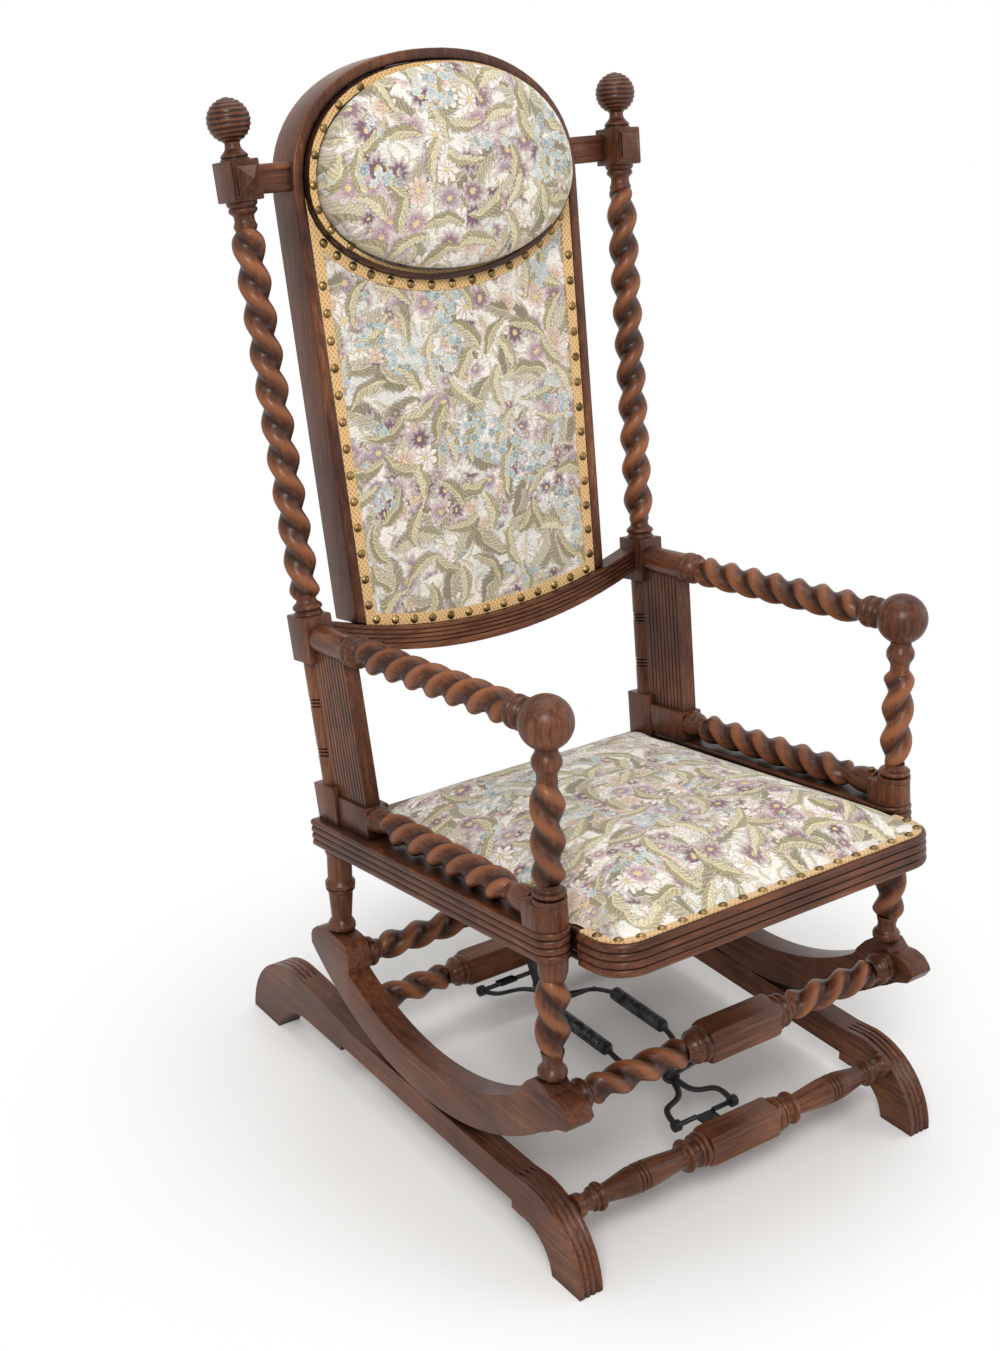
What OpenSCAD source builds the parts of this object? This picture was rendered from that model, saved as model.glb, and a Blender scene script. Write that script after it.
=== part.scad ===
// Platform rocker with twist-turned frame. Units are mm, +Z is up, the front faces -Y.

/* [Overall] */
// distance between the centre planes of the two rockers
rocker_gap = 487; // [420:1:560]
// distance between the two arm posts' axes
arm_gap = 481; // [420:1:560]
// height of the arm balls' centres above the floor
arm_height = 619; // [560:1:680]
// height of the side rails' top where they meet the arm posts
seat_height = 401; // [360:1:440]
// backward slope of the seat, in degrees
seat_pitch = 7; // [0:0.5:10]
// backward lean of the back, in degrees
back_lean = 9.4; // [4:0.1:16]
// outward splay of each back post, in degrees
post_splay = 2; // [0:0.1:3]

/* [Base] */
// length of the base over the feet
base_length = 709; // [600:1:820]
// width of each base rail
rail_width = 30; // [24:1:40]
// height of the flat track the rockers roll on
track_height = 86; // [70:1:110]
// height of the stretchers' axes above the floor
base_stretcher_height = 70; // [55:1:78]
// how far the front stretcher is in front of the middle
base_front_reach = 303; // [260:1:320]
// how far the rear stretcher is behind the middle
base_rear_reach = 170; // [120:1:220]

/* [Rockers] */
// radius of the rockers' rolling edge
rocker_radius = 375; // [320:1:450]
// depth of the rockers
rocker_depth = 45; // [34:1:54]
// width of the rockers
rocker_width = 30; // [24:1:36]
// running gap between rockers and track
rocker_gap_clear = 0.4; // [0.2:0.1:1]

/* [Twists] */
// largest radius of the posts' and arms' twist
twist_radius = 18.5; // [14:0.5:22]
// distance from one ridge to the next along a post
twist_rise = 39; // [28:1:52]
// largest radius of the stretchers' twist
stretcher_twist_radius = 17.5; // [12:0.5:20]

/* [Seat] */
// width of the side rails
side_rail_width = 42; // [34:1:50]
// height of the side rails
side_rail_height = 33; // [26:1:42]
// crown of the seat pad
seat_crown = 40; // [20:1:55]
// reach of the seat frame in front of the arm posts
seat_reach = 87; // [70:1:100]
// half width of the seat frame in front of the arm posts
seat_front_half = 226; // [200:1:270]

/* [Back] */
// half width of the back frame at its foot
back_half = 181; // [150:1:190]
// half width of the back frame at its shoulders
back_top_half = 193; // [160:1:200]
// height of the arched frame above the arm blocks
back_rise = 634; // [540:1:700]
// depth of the arched frame, front to back
back_depth = 52; // [40:1:60]
// crown of the headrest
headrest_crown = 50; // [25:1:60]

/* [Spring gear] */
// outer radius of the coil springs
spring_radius = 8.5; // [6:0.1:10]
// wire of the coil springs
spring_wire = 3.2; // [1.5:0.1:3.6]
// coils in each spring
spring_coils = 22; // [10:1:24]

/* [Hidden] */
$fn = 40;
eps = 0.4;
twist_steps = 8;
twist_sides = 10;
twist_outline = 14;

rocker_x = rocker_gap / 2;
arm_x = arm_gap / 2;
base_half = base_length / 2;
rail_in = rocker_x - rail_width / 2;
rocker_in = rocker_x - rocker_width / 2;

// arm post foot, on the side rail's top
post_y = -275;
post_z = seat_height;
ball_radius = 28;
ball_y = -268.6;
ball_z = arm_height;

// back posts: the arm block's centre
back_y = 181;
back_z = 569;
post_x = 241.6;
block_w = 35.5;
block_d = 42.5;
arm_block_h = 54;
top_block_h = 43;
top_block_up = 508;
finial_up = 570.6;
finial_radius = 24.3;
plinth_top = -176;
plinth_foot = -221;

// rockers
rocker_y = -50;
rocker_z = track_height + rocker_gap_clear + rocker_radius;
rocker_rear = 239;
rocker_front = 262;
rear_pad_z = 206;
front_pad_z = 229;
rear_leg_y = 143;
front_leg_y = -281;
stretcher_front_y = -295;
stretcher_front_z = 203;
stretcher_rear_y = 125;
stretcher_rear_z = 174;
block_half = 52;
block_side = 40;
base_block_side = 38;
base_front_lift = 3;

// spring gear
pin_front_y = -248;
pin_front_z = 66;
pin_rear_y = 140;
pin_rear_z = 49;
eye_front_y = -131;
eye_rear_y = -19;
eye_z = 100;
lever_half = 42;
lever_bar = 8;
spring_seat = 1.2;
pin_radius = 3;
pin_play = 0.06;

// seat
rail_in_x = arm_x - side_rail_width / 2;
seat_drop = 6;
frame_height = 35;
frame_corner = 40;
seat_step = side_rail_width / 2 + 2;
frame_back = 438;
pad_back = 398;
post_block_h = 29;
rail_back = 449;
panel_block_x = 233;
panel_block_w = 31;
panel_block_front = 337;
panel_block_back = 403.4;
panel_block_h = 37;
lower_rail_up = 22;

// back
shoulder_up = 488;
arch_rise = back_rise - shoulder_up;
arch_power = 0.91;
frame_edge = 13;
smile_radius = 686;
smile_top = -23;
reed_band = 21;
rail_band = 31;
headrest_a = back_top_half - frame_edge - 1;
headrest_top = arch_rise - frame_edge - 1;
headrest_foot = 110;
rim_width = 6;
rim_side = 4;
rim_front = -9.6;
ledge_front = 0;
gimp_width = 13;
thin_gimp = 8;
gimp_thick = 2;
soft_gap = 0.3;
pad_face = 4;
nail_radius = 5.2;
small_nail_radius = 3.9;
seat_rim = 5;

// moves the whole chair so that the middle of its overall box is at zero
front_reach = seat_reach * cos(seat_pitch) + (frame_height + seat_drop) * sin(seat_pitch) - post_y;
origin_shift = (front_reach - base_half) / 2;

wood = [0.36, 0.19, 0.12];
dark = [0.20, 0.10, 0.07];
iron = [0.12, 0.12, 0.13];
cloth = [0.80, 0.76, 0.66];
braid = [0.78, 0.60, 0.32];
metal = [0.42, 0.35, 0.22];

module placed() {
    translate([0, origin_shift, 0]) children();
}

// turns local Z to run from one point to another
module run(a, b) {
    d = b - a;
    len = norm(d);
    translate(a)
        rotate([0, acos(d[2] / len), atan2(d[1], d[0])])
            children();
}

// the right-hand pieces are the left-hand ones mirrored
module right() {
    mirror([1, 0, 0]) children();
}

// the back's frame of reference: z climbs the lean, y goes to the rear
module lean() {
    translate([0, back_y, back_z])
        rotate([-back_lean, 0, 0])
            children();
}

// the seat's frame of reference: y goes to the rear along the slope, z is square to it
module seat() {
    translate([0, post_y, post_z])
        rotate([-seat_pitch, 0, 0])
            children();
}

// two strands wound together; dir gives the hand
module twist(h, r, rise, dir) {
    turns = h / rise / 2;
    off = r * 0.3;
    linear_extrude(height = h, twist = dir * 360 * turns, slices = ceil(turns * twist_steps), $fn = twist_outline)
        union() {
            translate([off, 0]) circle(r = r - off, $fn = twist_sides);
            translate([-off, 0]) circle(r = r - off, $fn = twist_sides);
        }
}

// turned piece from pairs of radius and height
module turned(p) {
    n = len(p);
    rotate_extrude()
        polygon(concat([[0, p[0][1]]], p, [[0, p[n - 1][1]]]));
}

// rounded bead round a turned piece
module bead(r, h) {
    cylinder(r = r - h / 2, h = h);
    translate([0, 0, h / 2])
        rotate_extrude()
            translate([r - h / 2, 0])
                circle(r = h / 2, $fn = 16);
}

function arc(cy, cz, r, a0, a1, n) = [for (i = [0 : n]) [cy + r * cos(a0 + (a1 - a0) * i / n), cz + r * sin(a0 + (a1 - a0) * i / n)]];

foot_front_r = 92;
foot_rear_r = 109;

module base_side() {
    bh = base_half;
    th = track_height;
    front_c = foot_front_r - bh;
    rear_c = bh - foot_rear_r;
    polygon(concat(
        arc(front_c, -0.035 * th, foot_front_r, 178, 90, 14),
        [[-0.655 * bh, 1.0 * th], [0.27 * bh, 1.0 * th], [0.42 * bh, 1.07 * th], [0.56 * bh, 1.15 * th]],
        arc(rear_c, -0.093 * th, foot_rear_r, 90, 4.3, 16),
        arc(0.606 * bh, -0.384 * th, 0.94 * th, 24, 92, 10),
        [[0.36 * bh, 0.56 * th], [0.36 * bh, 0.65 * th], [-0.655 * bh, 0.60 * th], [-0.655 * bh, 0.49 * th]],
        arc(-0.722 * bh, -0.093 * th, 0.585 * th, 80, 171, 10)));
}

// three grooves round the top of each foot
module foot_grooves() {
    for (i = [-1 : 1]) {
        x = rail_width * (0.5 + 0.24 * i);
        translate([x, foot_front_r - base_half, -0.035 * track_height])
            rotate([0, 90, 0])
                rotate_extrude(angle = 360)
                    translate([foot_front_r, 0])
                        circle(r = rail_width * 0.05, $fn = 8);
        translate([x, base_half - foot_rear_r, -0.093 * track_height])
            rotate([0, 90, 0])
                rotate_extrude(angle = 360)
                    translate([foot_rear_r, 0])
                        circle(r = rail_width * 0.05, $fn = 8);
    }
}

module base_rail_left() {
    color(wood) placed()
        translate([-rocker_x - rail_width / 2, 0, 0])
            difference() {
                rotate([90, 0, 90])
                    linear_extrude(rail_width)
                        base_side();
                foot_grooves();
            }
}
module base_rail_right() { right() base_rail_left(); }

// chamfered square block in the middle of a stretcher, along Z
module stretcher_block(side, half) {
    c = side * 0.13;
    s = side / 2;
    translate([0, 0, -half])
        difference() {
            linear_extrude(2 * half)
                polygon([[s - c, -s], [s, c - s], [s, s - c], [s - c, s], [c - s, s], [-s, s - c], [-s, c - s], [c - s, -s]]);
            for (m = [0, 1])
                translate([0, 0, m * 2 * half])
                    mirror([0, 0, m])
                        difference() {
                            cylinder(r = side, h = side * 0.25);
                            cylinder(r1 = side * 0.46, r2 = side * 0.71, h = side * 0.25);
                        }
        }
}

module vase_half() {
    s = rail_in;
    turned([[0.035 * s, 0.20 * s], [0.075 * s, 0.22 * s], [0.08 * s, 0.245 * s], [0.06 * s, 0.26 * s], [0.078 * s, 0.28 * s],
        [0.078 * s, 0.30 * s], [0.05 * s, 0.32 * s], [0.044 * s, 0.36 * s], [0.058 * s, 0.46 * s], [0.068 * s, 0.56 * s],
        [0.071 * s, 0.595 * s], [0.066 * s, 0.60 * s], [0.071 * s, 0.605 * s], [0.066 * s, 0.615 * s], [0.071 * s, 0.62 * s],
        [0.062 * s, 0.68 * s], [0.048 * s, 0.78 * s], [0.043 * s, 0.83 * s], [0.064 * s, 0.86 * s], [0.067 * s, 0.88 * s],
        [0.052 * s, 0.90 * s], [0.064 * s, 0.92 * s], [0.062 * s, 0.94 * s], [0.05 * s, 0.955 * s], [0.05 * s, 1.0 * s]]);
}

module base_stretcher_front() {
    color(wood) placed()
        translate([0, -base_front_reach, base_stretcher_height + base_front_lift])
            rotate([0, 90, 0])
                union() {
                    stretcher_block(base_block_side, block_half);
                    vase_half();
                    mirror([0, 0, 1]) vase_half();
                }
}

// half of a twist stretcher, from the block to the rocker or rail
module twist_half(length, r, dir) {
    turned([[0.3 * r, block_half - r], [1.16 * r, block_half - r * 0.1], [1.16 * r, block_half + 0.2 * r], [0.95 * r, block_half + 0.3 * r],
        [1.1 * r, block_half + 0.45 * r], [1.1 * r, block_half + 0.7 * r], [0.9 * r, block_half + 0.85 * r], [0.7 * r, block_half + 1.2 * r],
        [0.7 * r, block_half + 1.45 * r]]);
    translate([0, 0, block_half + 1.25 * r])
        twist(length - block_half - 2.6 * r, r, twist_rise * 0.9, dir);
    turned([[0.7 * r, length - 1.5 * r], [0.75 * r, length - 1.2 * r], [1.05 * r, length - 0.95 * r], [1.05 * r, length - 0.65 * r],
        [0.9 * r, length - 0.5 * r], [0.98 * r, length - 0.35 * r], [0.98 * r, length]]);
}

module twist_stretcher(length, r, dir, side) {
    rotate([0, 90, 0])
        union() {
            stretcher_block(side, block_half);
            twist_half(length, r, dir);
            mirror([0, 0, 1]) twist_half(length, r, dir);
        }
}

module base_stretcher_rear() {
    color(wood) placed()
        translate([0, base_rear_reach, base_stretcher_height])
            twist_stretcher(rail_in, stretcher_twist_radius, 1, base_block_side);
}

// a rod between the lever's lugs, held by a bracket on the stretcher block
module hinge_rod(y, z, block_y, dir) {
    gap = abs(block_y - y) - base_block_side / 2;
    translate([-lever_half - lever_bar * 0.8, y, z])
        rotate([0, 90, 0])
            cylinder(r = pin_radius, h = 2 * lever_half + lever_bar * 1.6);
    translate([-lever_half * 0.3, dir > 0 ? y - pin_radius : block_y + base_block_side / 2, z - pin_radius])
        cube([lever_half * 0.6, gap + pin_radius, pin_radius * 4]);
}
module hinge_rod_front() {
    color(iron) placed()
        hinge_rod(pin_front_y, pin_front_z, -base_front_reach, -1);
}
module hinge_rod_rear() {
    color(iron) placed()
        hinge_rod(pin_rear_y, pin_rear_z, base_rear_reach, 1);
}

// outline of a forked lever, from its hinge at the origin to the spring eyes at reach
module lever_plan(reach, w) {
    h = lever_half;
    m = reach * 0.48;
    for (s = [-1, 1]) {
        polygon([[s * (h - w * 0.45), 0], [s * (h + w * 0.45), 0], [s * (h + w * 0.45), 0.12 * reach], [s * w * 0.9, m], [0, m + w * 0.2], [0, m - w * 1.1],
            [s * (h - w * 0.45), 0.06 * reach]]);
        polygon([[0, m - w * 0.3], [s * w * 0.9, m - w * 0.1], [s * h * 0.92, reach * 0.74], [s * (h + w * 0.45), reach * 0.9], [s * (h + w * 0.45), reach],
            [s * (h - w * 0.45), reach], [s * (h - w * 0.45), reach * 0.92], [s * h * 0.72, reach * 0.79], [0, m + w * 1.1]]);
    }
    translate([0, m]) circle(r = w * 1.3, $fn = 32);
    translate([-h * 0.8, reach * 0.73]) square([h * 1.6, w * 0.7]);
}

// forked lever: lugs on the hinge rod, a waist, and two eyes for the springs
module lever(py, pz, ey, ez) {
    h = lever_half;
    w = lever_bar;
    s = ey > py ? 1 : -1;
    reach = norm([ey - py, ez - pz]);
    tilt = atan2(ez - pz, abs(ey - py));
    color(iron) placed()
        translate([0, py, pz])
            difference() {
                union() {
                    mirror([0, s < 0 ? 1 : 0, 0])
                        rotate([tilt, 0, 0])
                            union() {
                                translate([0, 0, -w * 0.35]) linear_extrude(w * 0.7) lever_plan(reach, w);
                                for (m = [-1, 1]) {
                                    translate([m * h - w * 0.55, reach, 0])
                                        rotate([0, 90, 0])
                                            cylinder(r = w * 0.75, h = w * 1.1);
                                    translate([m * h, reach, 0])
                                        rotate([-90 - tilt, 0, 0])
                                            cylinder(r = spring_radius, h = w * spring_seat);
                                }
                            }
                    for (m = [-1, 1])
                        translate([m * h - w * 0.55, 0, 0])
                            rotate([0, 90, 0])
                                cylinder(r = w * 0.85, h = w * 1.1);
                }
                translate([-h - w, 0, 0])
                    rotate([0, 90, 0])
                        cylinder(r = pin_radius + pin_play, h = 2 * h + 2 * w);
            }
}
module lever_front() { lever(pin_front_y, pin_front_z, eye_front_y, eye_z); }
module lever_rear() { lever(pin_rear_y, pin_rear_z, eye_rear_y, eye_z); }

// one unbroken wire wound from eye to eye, as rings of a few sides
spring_start = eye_front_y + lever_bar * spring_seat + eps - spring_wire / 2;
spring_end = eye_rear_y - lever_bar * spring_seat - eps + spring_wire / 2;
spring_pitch = (spring_end - spring_start - 2 * spring_wire) / spring_coils;
echo(spring_gap = spring_pitch - spring_wire);

function coil_at(t) = [(spring_radius - spring_wire / 2) * cos(360 * t), spring_wire + spring_pitch * t, (spring_radius - spring_wire / 2) * sin(360 * t)];
coil_rings = spring_coils * 8;
coil_faces = 6;
function coil_ring(i) = let(t = i / 8, c = coil_at(t), a = 360 * t)
    [for (k = [0 : coil_faces - 1]) let(b = 360 * k / coil_faces)
        c + spring_wire / 2 * [cos(b) * cos(a), sin(b), cos(b) * sin(a)]];

module spring() {
    pts = [for (i = [0 : coil_rings]) each coil_ring(i)];
    sides = [for (i = [0 : coil_rings - 1], k = [0 : coil_faces - 1])
        let(a = i * coil_faces + k, b = i * coil_faces + (k + 1) % coil_faces)
            each [[a, a + coil_faces, b + coil_faces], [a, b + coil_faces, b]]];
    ends = [[for (k = [0 : coil_faces - 1]) k], [for (k = [coil_faces - 1 : -1 : 0]) coil_rings * coil_faces + k]];
    polyhedron(points = pts, faces = concat(sides, ends));
}
module spring_left() {
    color(iron) placed()
        translate([-lever_half, spring_start, eye_z]) spring();
}
module spring_right() { right() spring_left(); }

// strap from a rocker stretcher's block down to a lever's waist
module link_strap(py, pz, ey, ez, sy, sz) {
    w = lever_bar;
    my = py + (ey - py) * 0.48;
    mz = pz + (ez - pz) * 0.48;
    a = [0, my, mz + w * 0.35 + 4 * eps];
    b = [0, sy, sz - block_side / 2 - w * 0.25];
    color(iron) placed()
        run(a, b)
            translate([-w * 0.25, -w * 1.4, 0])
                cube([w * 0.5, w * 2.8, norm(b - a)]);
}
module link_strap_front() { link_strap(pin_front_y, pin_front_z, eye_front_y, eye_z, stretcher_front_y + block_side * 0.3, stretcher_front_z); }
module link_strap_rear() { link_strap(pin_rear_y, pin_rear_z, eye_rear_y, eye_z, stretcher_rear_y - block_side * 0.3, stretcher_rear_z); }

module rocker_side() {
    r = rocker_radius;
    b = rocker_rear;
    f = rocker_front;
    u = rear_pad_z;
    v = front_pad_z;
    union() {
        difference() {
            translate([rocker_y, rocker_z]) circle(r = r, $fn = 180);
            translate([rocker_y, rocker_z]) circle(r = r - rocker_depth, $fn = 180);
            translate([rocker_y + 0.998 * b, -r]) square([r, 3 * r]);
            translate([rocker_y - f - r, -r]) square([r, 3 * r]);
            translate([rocker_y - r, rocker_z - 0.715 * r]) square([r + 1, 2 * r]);
            translate([rocker_y, rocker_z - 0.737 * r]) square([r, 2 * r]);
        }
        translate([rocker_y, 0])
            polygon([[0.63 * b, 0.78 * u], [0.632 * b, 0.912 * u], [0.644 * b, 0.97 * u], [0.675 * b, 0.996 * u], [0.71 * b, u], [0.87 * b, u],
                [0.92 * b, 0.98 * u], [0.946 * b, 0.965 * u], [0.987 * b, 0.922 * u], [0.998 * b, 0.878 * u], [0.992 * b, 0.83 * u], [0.912 * b, 0.76 * u]]);
        translate([rocker_y, 0])
            polygon([[-0.737 * f, 0.843 * v], [-0.756 * f, 0.891 * v], [-0.802 * f, 0.956 * v], [-0.85 * f, v], [-0.915 * f, v], [-0.954 * f, 0.963 * v],
                [-1.004 * f, 0.969 * v], [-1.05 * f, 0.956 * v], [-1.08 * f, 0.926 * v], [-1.092 * f, 0.9 * v], [-1.065 * f, 0.852 * v], [-1.0 * f, 0.821 * v],
                [-0.947 * f, 0.775 * v], [-0.897 * f, 0.742 * v], [-0.821 * f, 0.672 * v]]);
    }
}
module rocker_left() {
    color(wood) placed()
        translate([-rocker_x - rocker_width / 2, 0, 0])
            rotate([90, 0, 90])
                linear_extrude(rocker_width)
                    rocker_side();
}
module rocker_right() { right() rocker_left(); }

module rocker_stretcher_front() {
    color(wood) placed()
        translate([0, stretcher_front_y, stretcher_front_z])
            twist_stretcher(rocker_in, stretcher_twist_radius, 1, block_side);
}
module rocker_stretcher_rear() {
    color(wood) placed()
        translate([0, stretcher_rear_y, stretcher_rear_z])
            twist_stretcher(rocker_in, stretcher_twist_radius, -1, block_side);
}

function rail_under(y) = post_z - (y - post_y) * tan(seat_pitch) - side_rail_height / cos(seat_pitch);

// cuts a leg's top to the slope of the side rail
module under_rail() {
    difference() {
        children();
        seat()
            translate([-arm_gap, -arm_gap, -side_rail_height])
                cube([2 * arm_gap, 4 * arm_gap, arm_gap]);
    }
}

module rear_leg_left() {
    r = 14;
    h = rail_under(rear_leg_y) - rear_pad_z;
    color(wood) placed()
        under_rail()
            translate([-arm_x, rear_leg_y, rear_pad_z])
                turned([[1.05 * r, 0], [1.18 * r, 0.03 * h], [1.18 * r, 0.07 * h], [1.02 * r, 0.11 * h], [0.86 * r, 0.14 * h], [0.98 * r, 0.35 * h],
                    [1.05 * r, 0.47 * h], [1.24 * r, 0.50 * h], [1.1 * r, 0.52 * h], [1.28 * r, 0.54 * h], [1.28 * r, 0.58 * h], [1.05 * r, 0.62 * h], [1.05 * r, 0.9 * h],
                    [1.2 * r, 0.95 * h], [1.2 * r, 1.1 * h]]);
}
module rear_leg_right() { right() rear_leg_left(); }

module front_leg_left() {
    r = twist_radius;
    h = rail_under(front_leg_y) - front_pad_z;
    color(wood) placed()
        under_rail()
            translate([-arm_x, front_leg_y, front_pad_z])
                union() {
                    turned([[0.76 * r, 0], [0.86 * r, 0.02 * h], [0.86 * r, 0.06 * h], [0.72 * r, 0.08 * h], [0.6 * r, 0.10 * h], [0.55 * r, 0.14 * h], [0.68 * r, 0.20 * h], [0.68 * r, 0.22 * h]]);
                    translate([0, 0, 0.19 * h])
                        rotate([0, 0, 90])
                            twist(0.68 * h, r, twist_rise, 1);
                    turned([[0.68 * r, 0.82 * h], [0.8 * r, 0.86 * h], [0.86 * r, 0.90 * h], [0.86 * r, 1.1 * h]]);
                }
}
module front_leg_right() { right() front_leg_left(); }

module rail_plan(inset) {
    w = side_rail_width / 2;
    e = w * 0.3;
    translate([0, inset * 0]) circle(r = w - inset, $fn = 60);
    translate([-w + inset, 0]) square([2 * (w - inset), rail_back - e]);
    translate([-w + inset + e, 0]) square([2 * (w - inset - e), rail_back - inset]);
    for (m = [-1, 1])
        translate([m * (w - inset - e), rail_back - inset - e]) circle(r = e);
}

module side_rail_left() {
    h = side_rail_height;
    color(wood) placed()
        seat()
            translate([-arm_x, 0, -h])
                difference() {
                    linear_extrude(h) rail_plan(0);
                    for (i = [1 : 3])
                        translate([0, 0, h * i / 4 - h * 0.025])
                            linear_extrude(h * 0.05)
                                difference() {
                                    translate([-side_rail_width, -side_rail_width]) square([side_rail_width * 2, rail_back * 2]);
                                    rail_plan(h * 0.05);
                                }
                }
}
module side_rail_right() { right() side_rail_left(); }

// block with a round front that carries the arm post
module post_block_left() {
    w = side_rail_width / 2 - 1;
    color(wood) placed()
        seat()
            translate([-arm_x, 0, 0])
                difference() {
                    union() {
                        cylinder(r = w, h = post_block_h);
                        translate([-w, 0, 0]) cube([2 * w, w, post_block_h]);
                    }
                    translate([0, 0, post_block_h])
                        rotate([seat_pitch - 2, 0, 0])
                            translate([-2 * w, -2 * w, -2 * eps])
                                cube([4 * w, 4 * w, w]);
                }
}
module post_block_right() { right() post_block_left(); }

post_foot = [-arm_x, post_y + eps, post_z + post_block_h * cos(seat_pitch) - eps];
ball_c = [-arm_x, ball_y, ball_z];
arm_rear = [-post_x, back_y - block_d / 2, back_z + 3.8];

module arm_post_left() {
    r = twist_radius;
    h = norm(ball_c - post_foot) - ball_radius * 0.94;
    color(wood) placed()
        run(post_foot, ball_c)
            union() {
                turned([[0.95 * r, 0], [0.95 * r, 0.03 * h], [0.85 * r, 0.045 * h], [0.9 * r, 0.06 * h], [0.86 * r, 0.075 * h], [0.62 * r, 0.09 * h], [0.62 * r, 0.12 * h]]);
                translate([0, 0, 0.10 * h]) twist(0.69 * h, r * 0.97, twist_rise, 1);
                turned([[0.6 * r, 0.77 * h], [0.55 * r, 0.83 * h], [0.68 * r, 0.86 * h], [0.84 * r, 0.89 * h], [0.84 * r, 0.93 * h], [0.62 * r, 0.97 * h], [0.62 * r, 1.0 * h]]);
            }
}
module arm_post_right() { right() arm_post_left(); }

module arm_ball_left() {
    color(wood) placed()
        difference() {
            translate(ball_c) sphere(r = ball_radius, $fn = 64);
            run(post_foot, ball_c)
                cylinder(r = ball_radius, h = norm(ball_c - post_foot) - ball_radius * 0.94);
            run(arm_rear, ball_c)
                cylinder(r = ball_radius, h = norm(ball_c - arm_rear) - ball_radius * 0.94);
        }
}
module arm_ball_right() { right() arm_ball_left(); }

module arm_left() {
    r = twist_radius;
    h = norm(ball_c - arm_rear) - ball_radius * 0.94;
    color(wood) placed()
        difference() {
            run(arm_rear, ball_c)
                union() {
                    turned([[0.88 * r, -0.05 * h], [0.88 * r, 0.165 * h], [1.03 * r, 0.175 * h], [1.03 * r, 0.19 * h], [0.9 * r, 0.195 * h], [1.0 * r, 0.20 * h], [1.0 * r, 0.215 * h],
                        [0.62 * r, 0.23 * h], [0.62 * r, 0.25 * h]]);
                    translate([0, 0, 0.235 * h]) twist(0.685 * h, r, twist_rise, 1);
                    turned([[0.62 * r, 0.91 * h], [0.6 * r, 0.925 * h], [0.97 * r, 0.94 * h], [0.97 * r, 0.955 * h], [0.8 * r, 0.96 * h], [0.95 * r, 0.967 * h], [0.95 * r, 0.98 * h],
                        [0.6 * r, 0.99 * h], [0.6 * r, 1.0 * h]]);
                }
            lean()
                translate([-2 * arm_gap, -block_d / 2, -arm_gap])
                    cube([4 * arm_gap, arm_gap, 2 * arm_gap]);
        }
}
module arm_right() { right() arm_left(); }

lower_rear = [-panel_block_x, panel_block_front - 2 * eps, lower_rail_up];
lower_front = [-arm_x, side_rail_width / 2 - 1 + 2 * eps, lower_rail_up * 0.75];

module lower_side_rail_left() {
    r = twist_radius * 0.97;
    h = norm(lower_rear - lower_front);
    color(wood) placed()
        seat()
            difference() {
                run(lower_rear, lower_front)
                    union() {
                        turned([[0.9 * r, 0], [0.9 * r, 0.02 * h], [0.75 * r, 0.03 * h], [0.82 * r, 0.04 * h], [0.62 * r, 0.06 * h], [0.62 * r, 0.09 * h]]);
                        translate([0, 0, 0.07 * h]) twist(0.71 * h, r, twist_rise, 1);
                        turned([[0.62 * r, 0.76 * h], [0.58 * r, 0.79 * h], [0.72 * r, 0.84 * h], [0.86 * r, 0.90 * h], [0.86 * r, 1.0 * h]]);
                    }
                translate([-arm_gap, -arm_gap, -arm_gap])
                    cube([2 * arm_gap, 3 * arm_gap, arm_gap + eps]);
            }
}
module lower_side_rail_right() { right() lower_side_rail_left(); }

module rail_screws() {
    color(metal) placed()
        for (m = [-1, 1])
            seat()
                translate([m * arm_x * 0.985, side_rail_width / 2 + 7, lower_rail_up * 0.75 + twist_radius * 0.852])
                    union() {
                        cylinder(r = 4, h = 2.5, $fn = 24);
                        translate([0, 0, 2.5]) cylinder(r1 = 4, r2 = 2.5, h = 1, $fn = 24);
                    }
}

// places a piece along the left back post, z measured from the arm block's centre
module on_post() {
    lean()
        translate([-post_x, 0, 0])
            rotate([0, -post_splay, 0])
                children();
}

module square_block(w, d, h) {
    translate([-w / 2, -d / 2, 0]) cube([w, d, h]);
}

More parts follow.
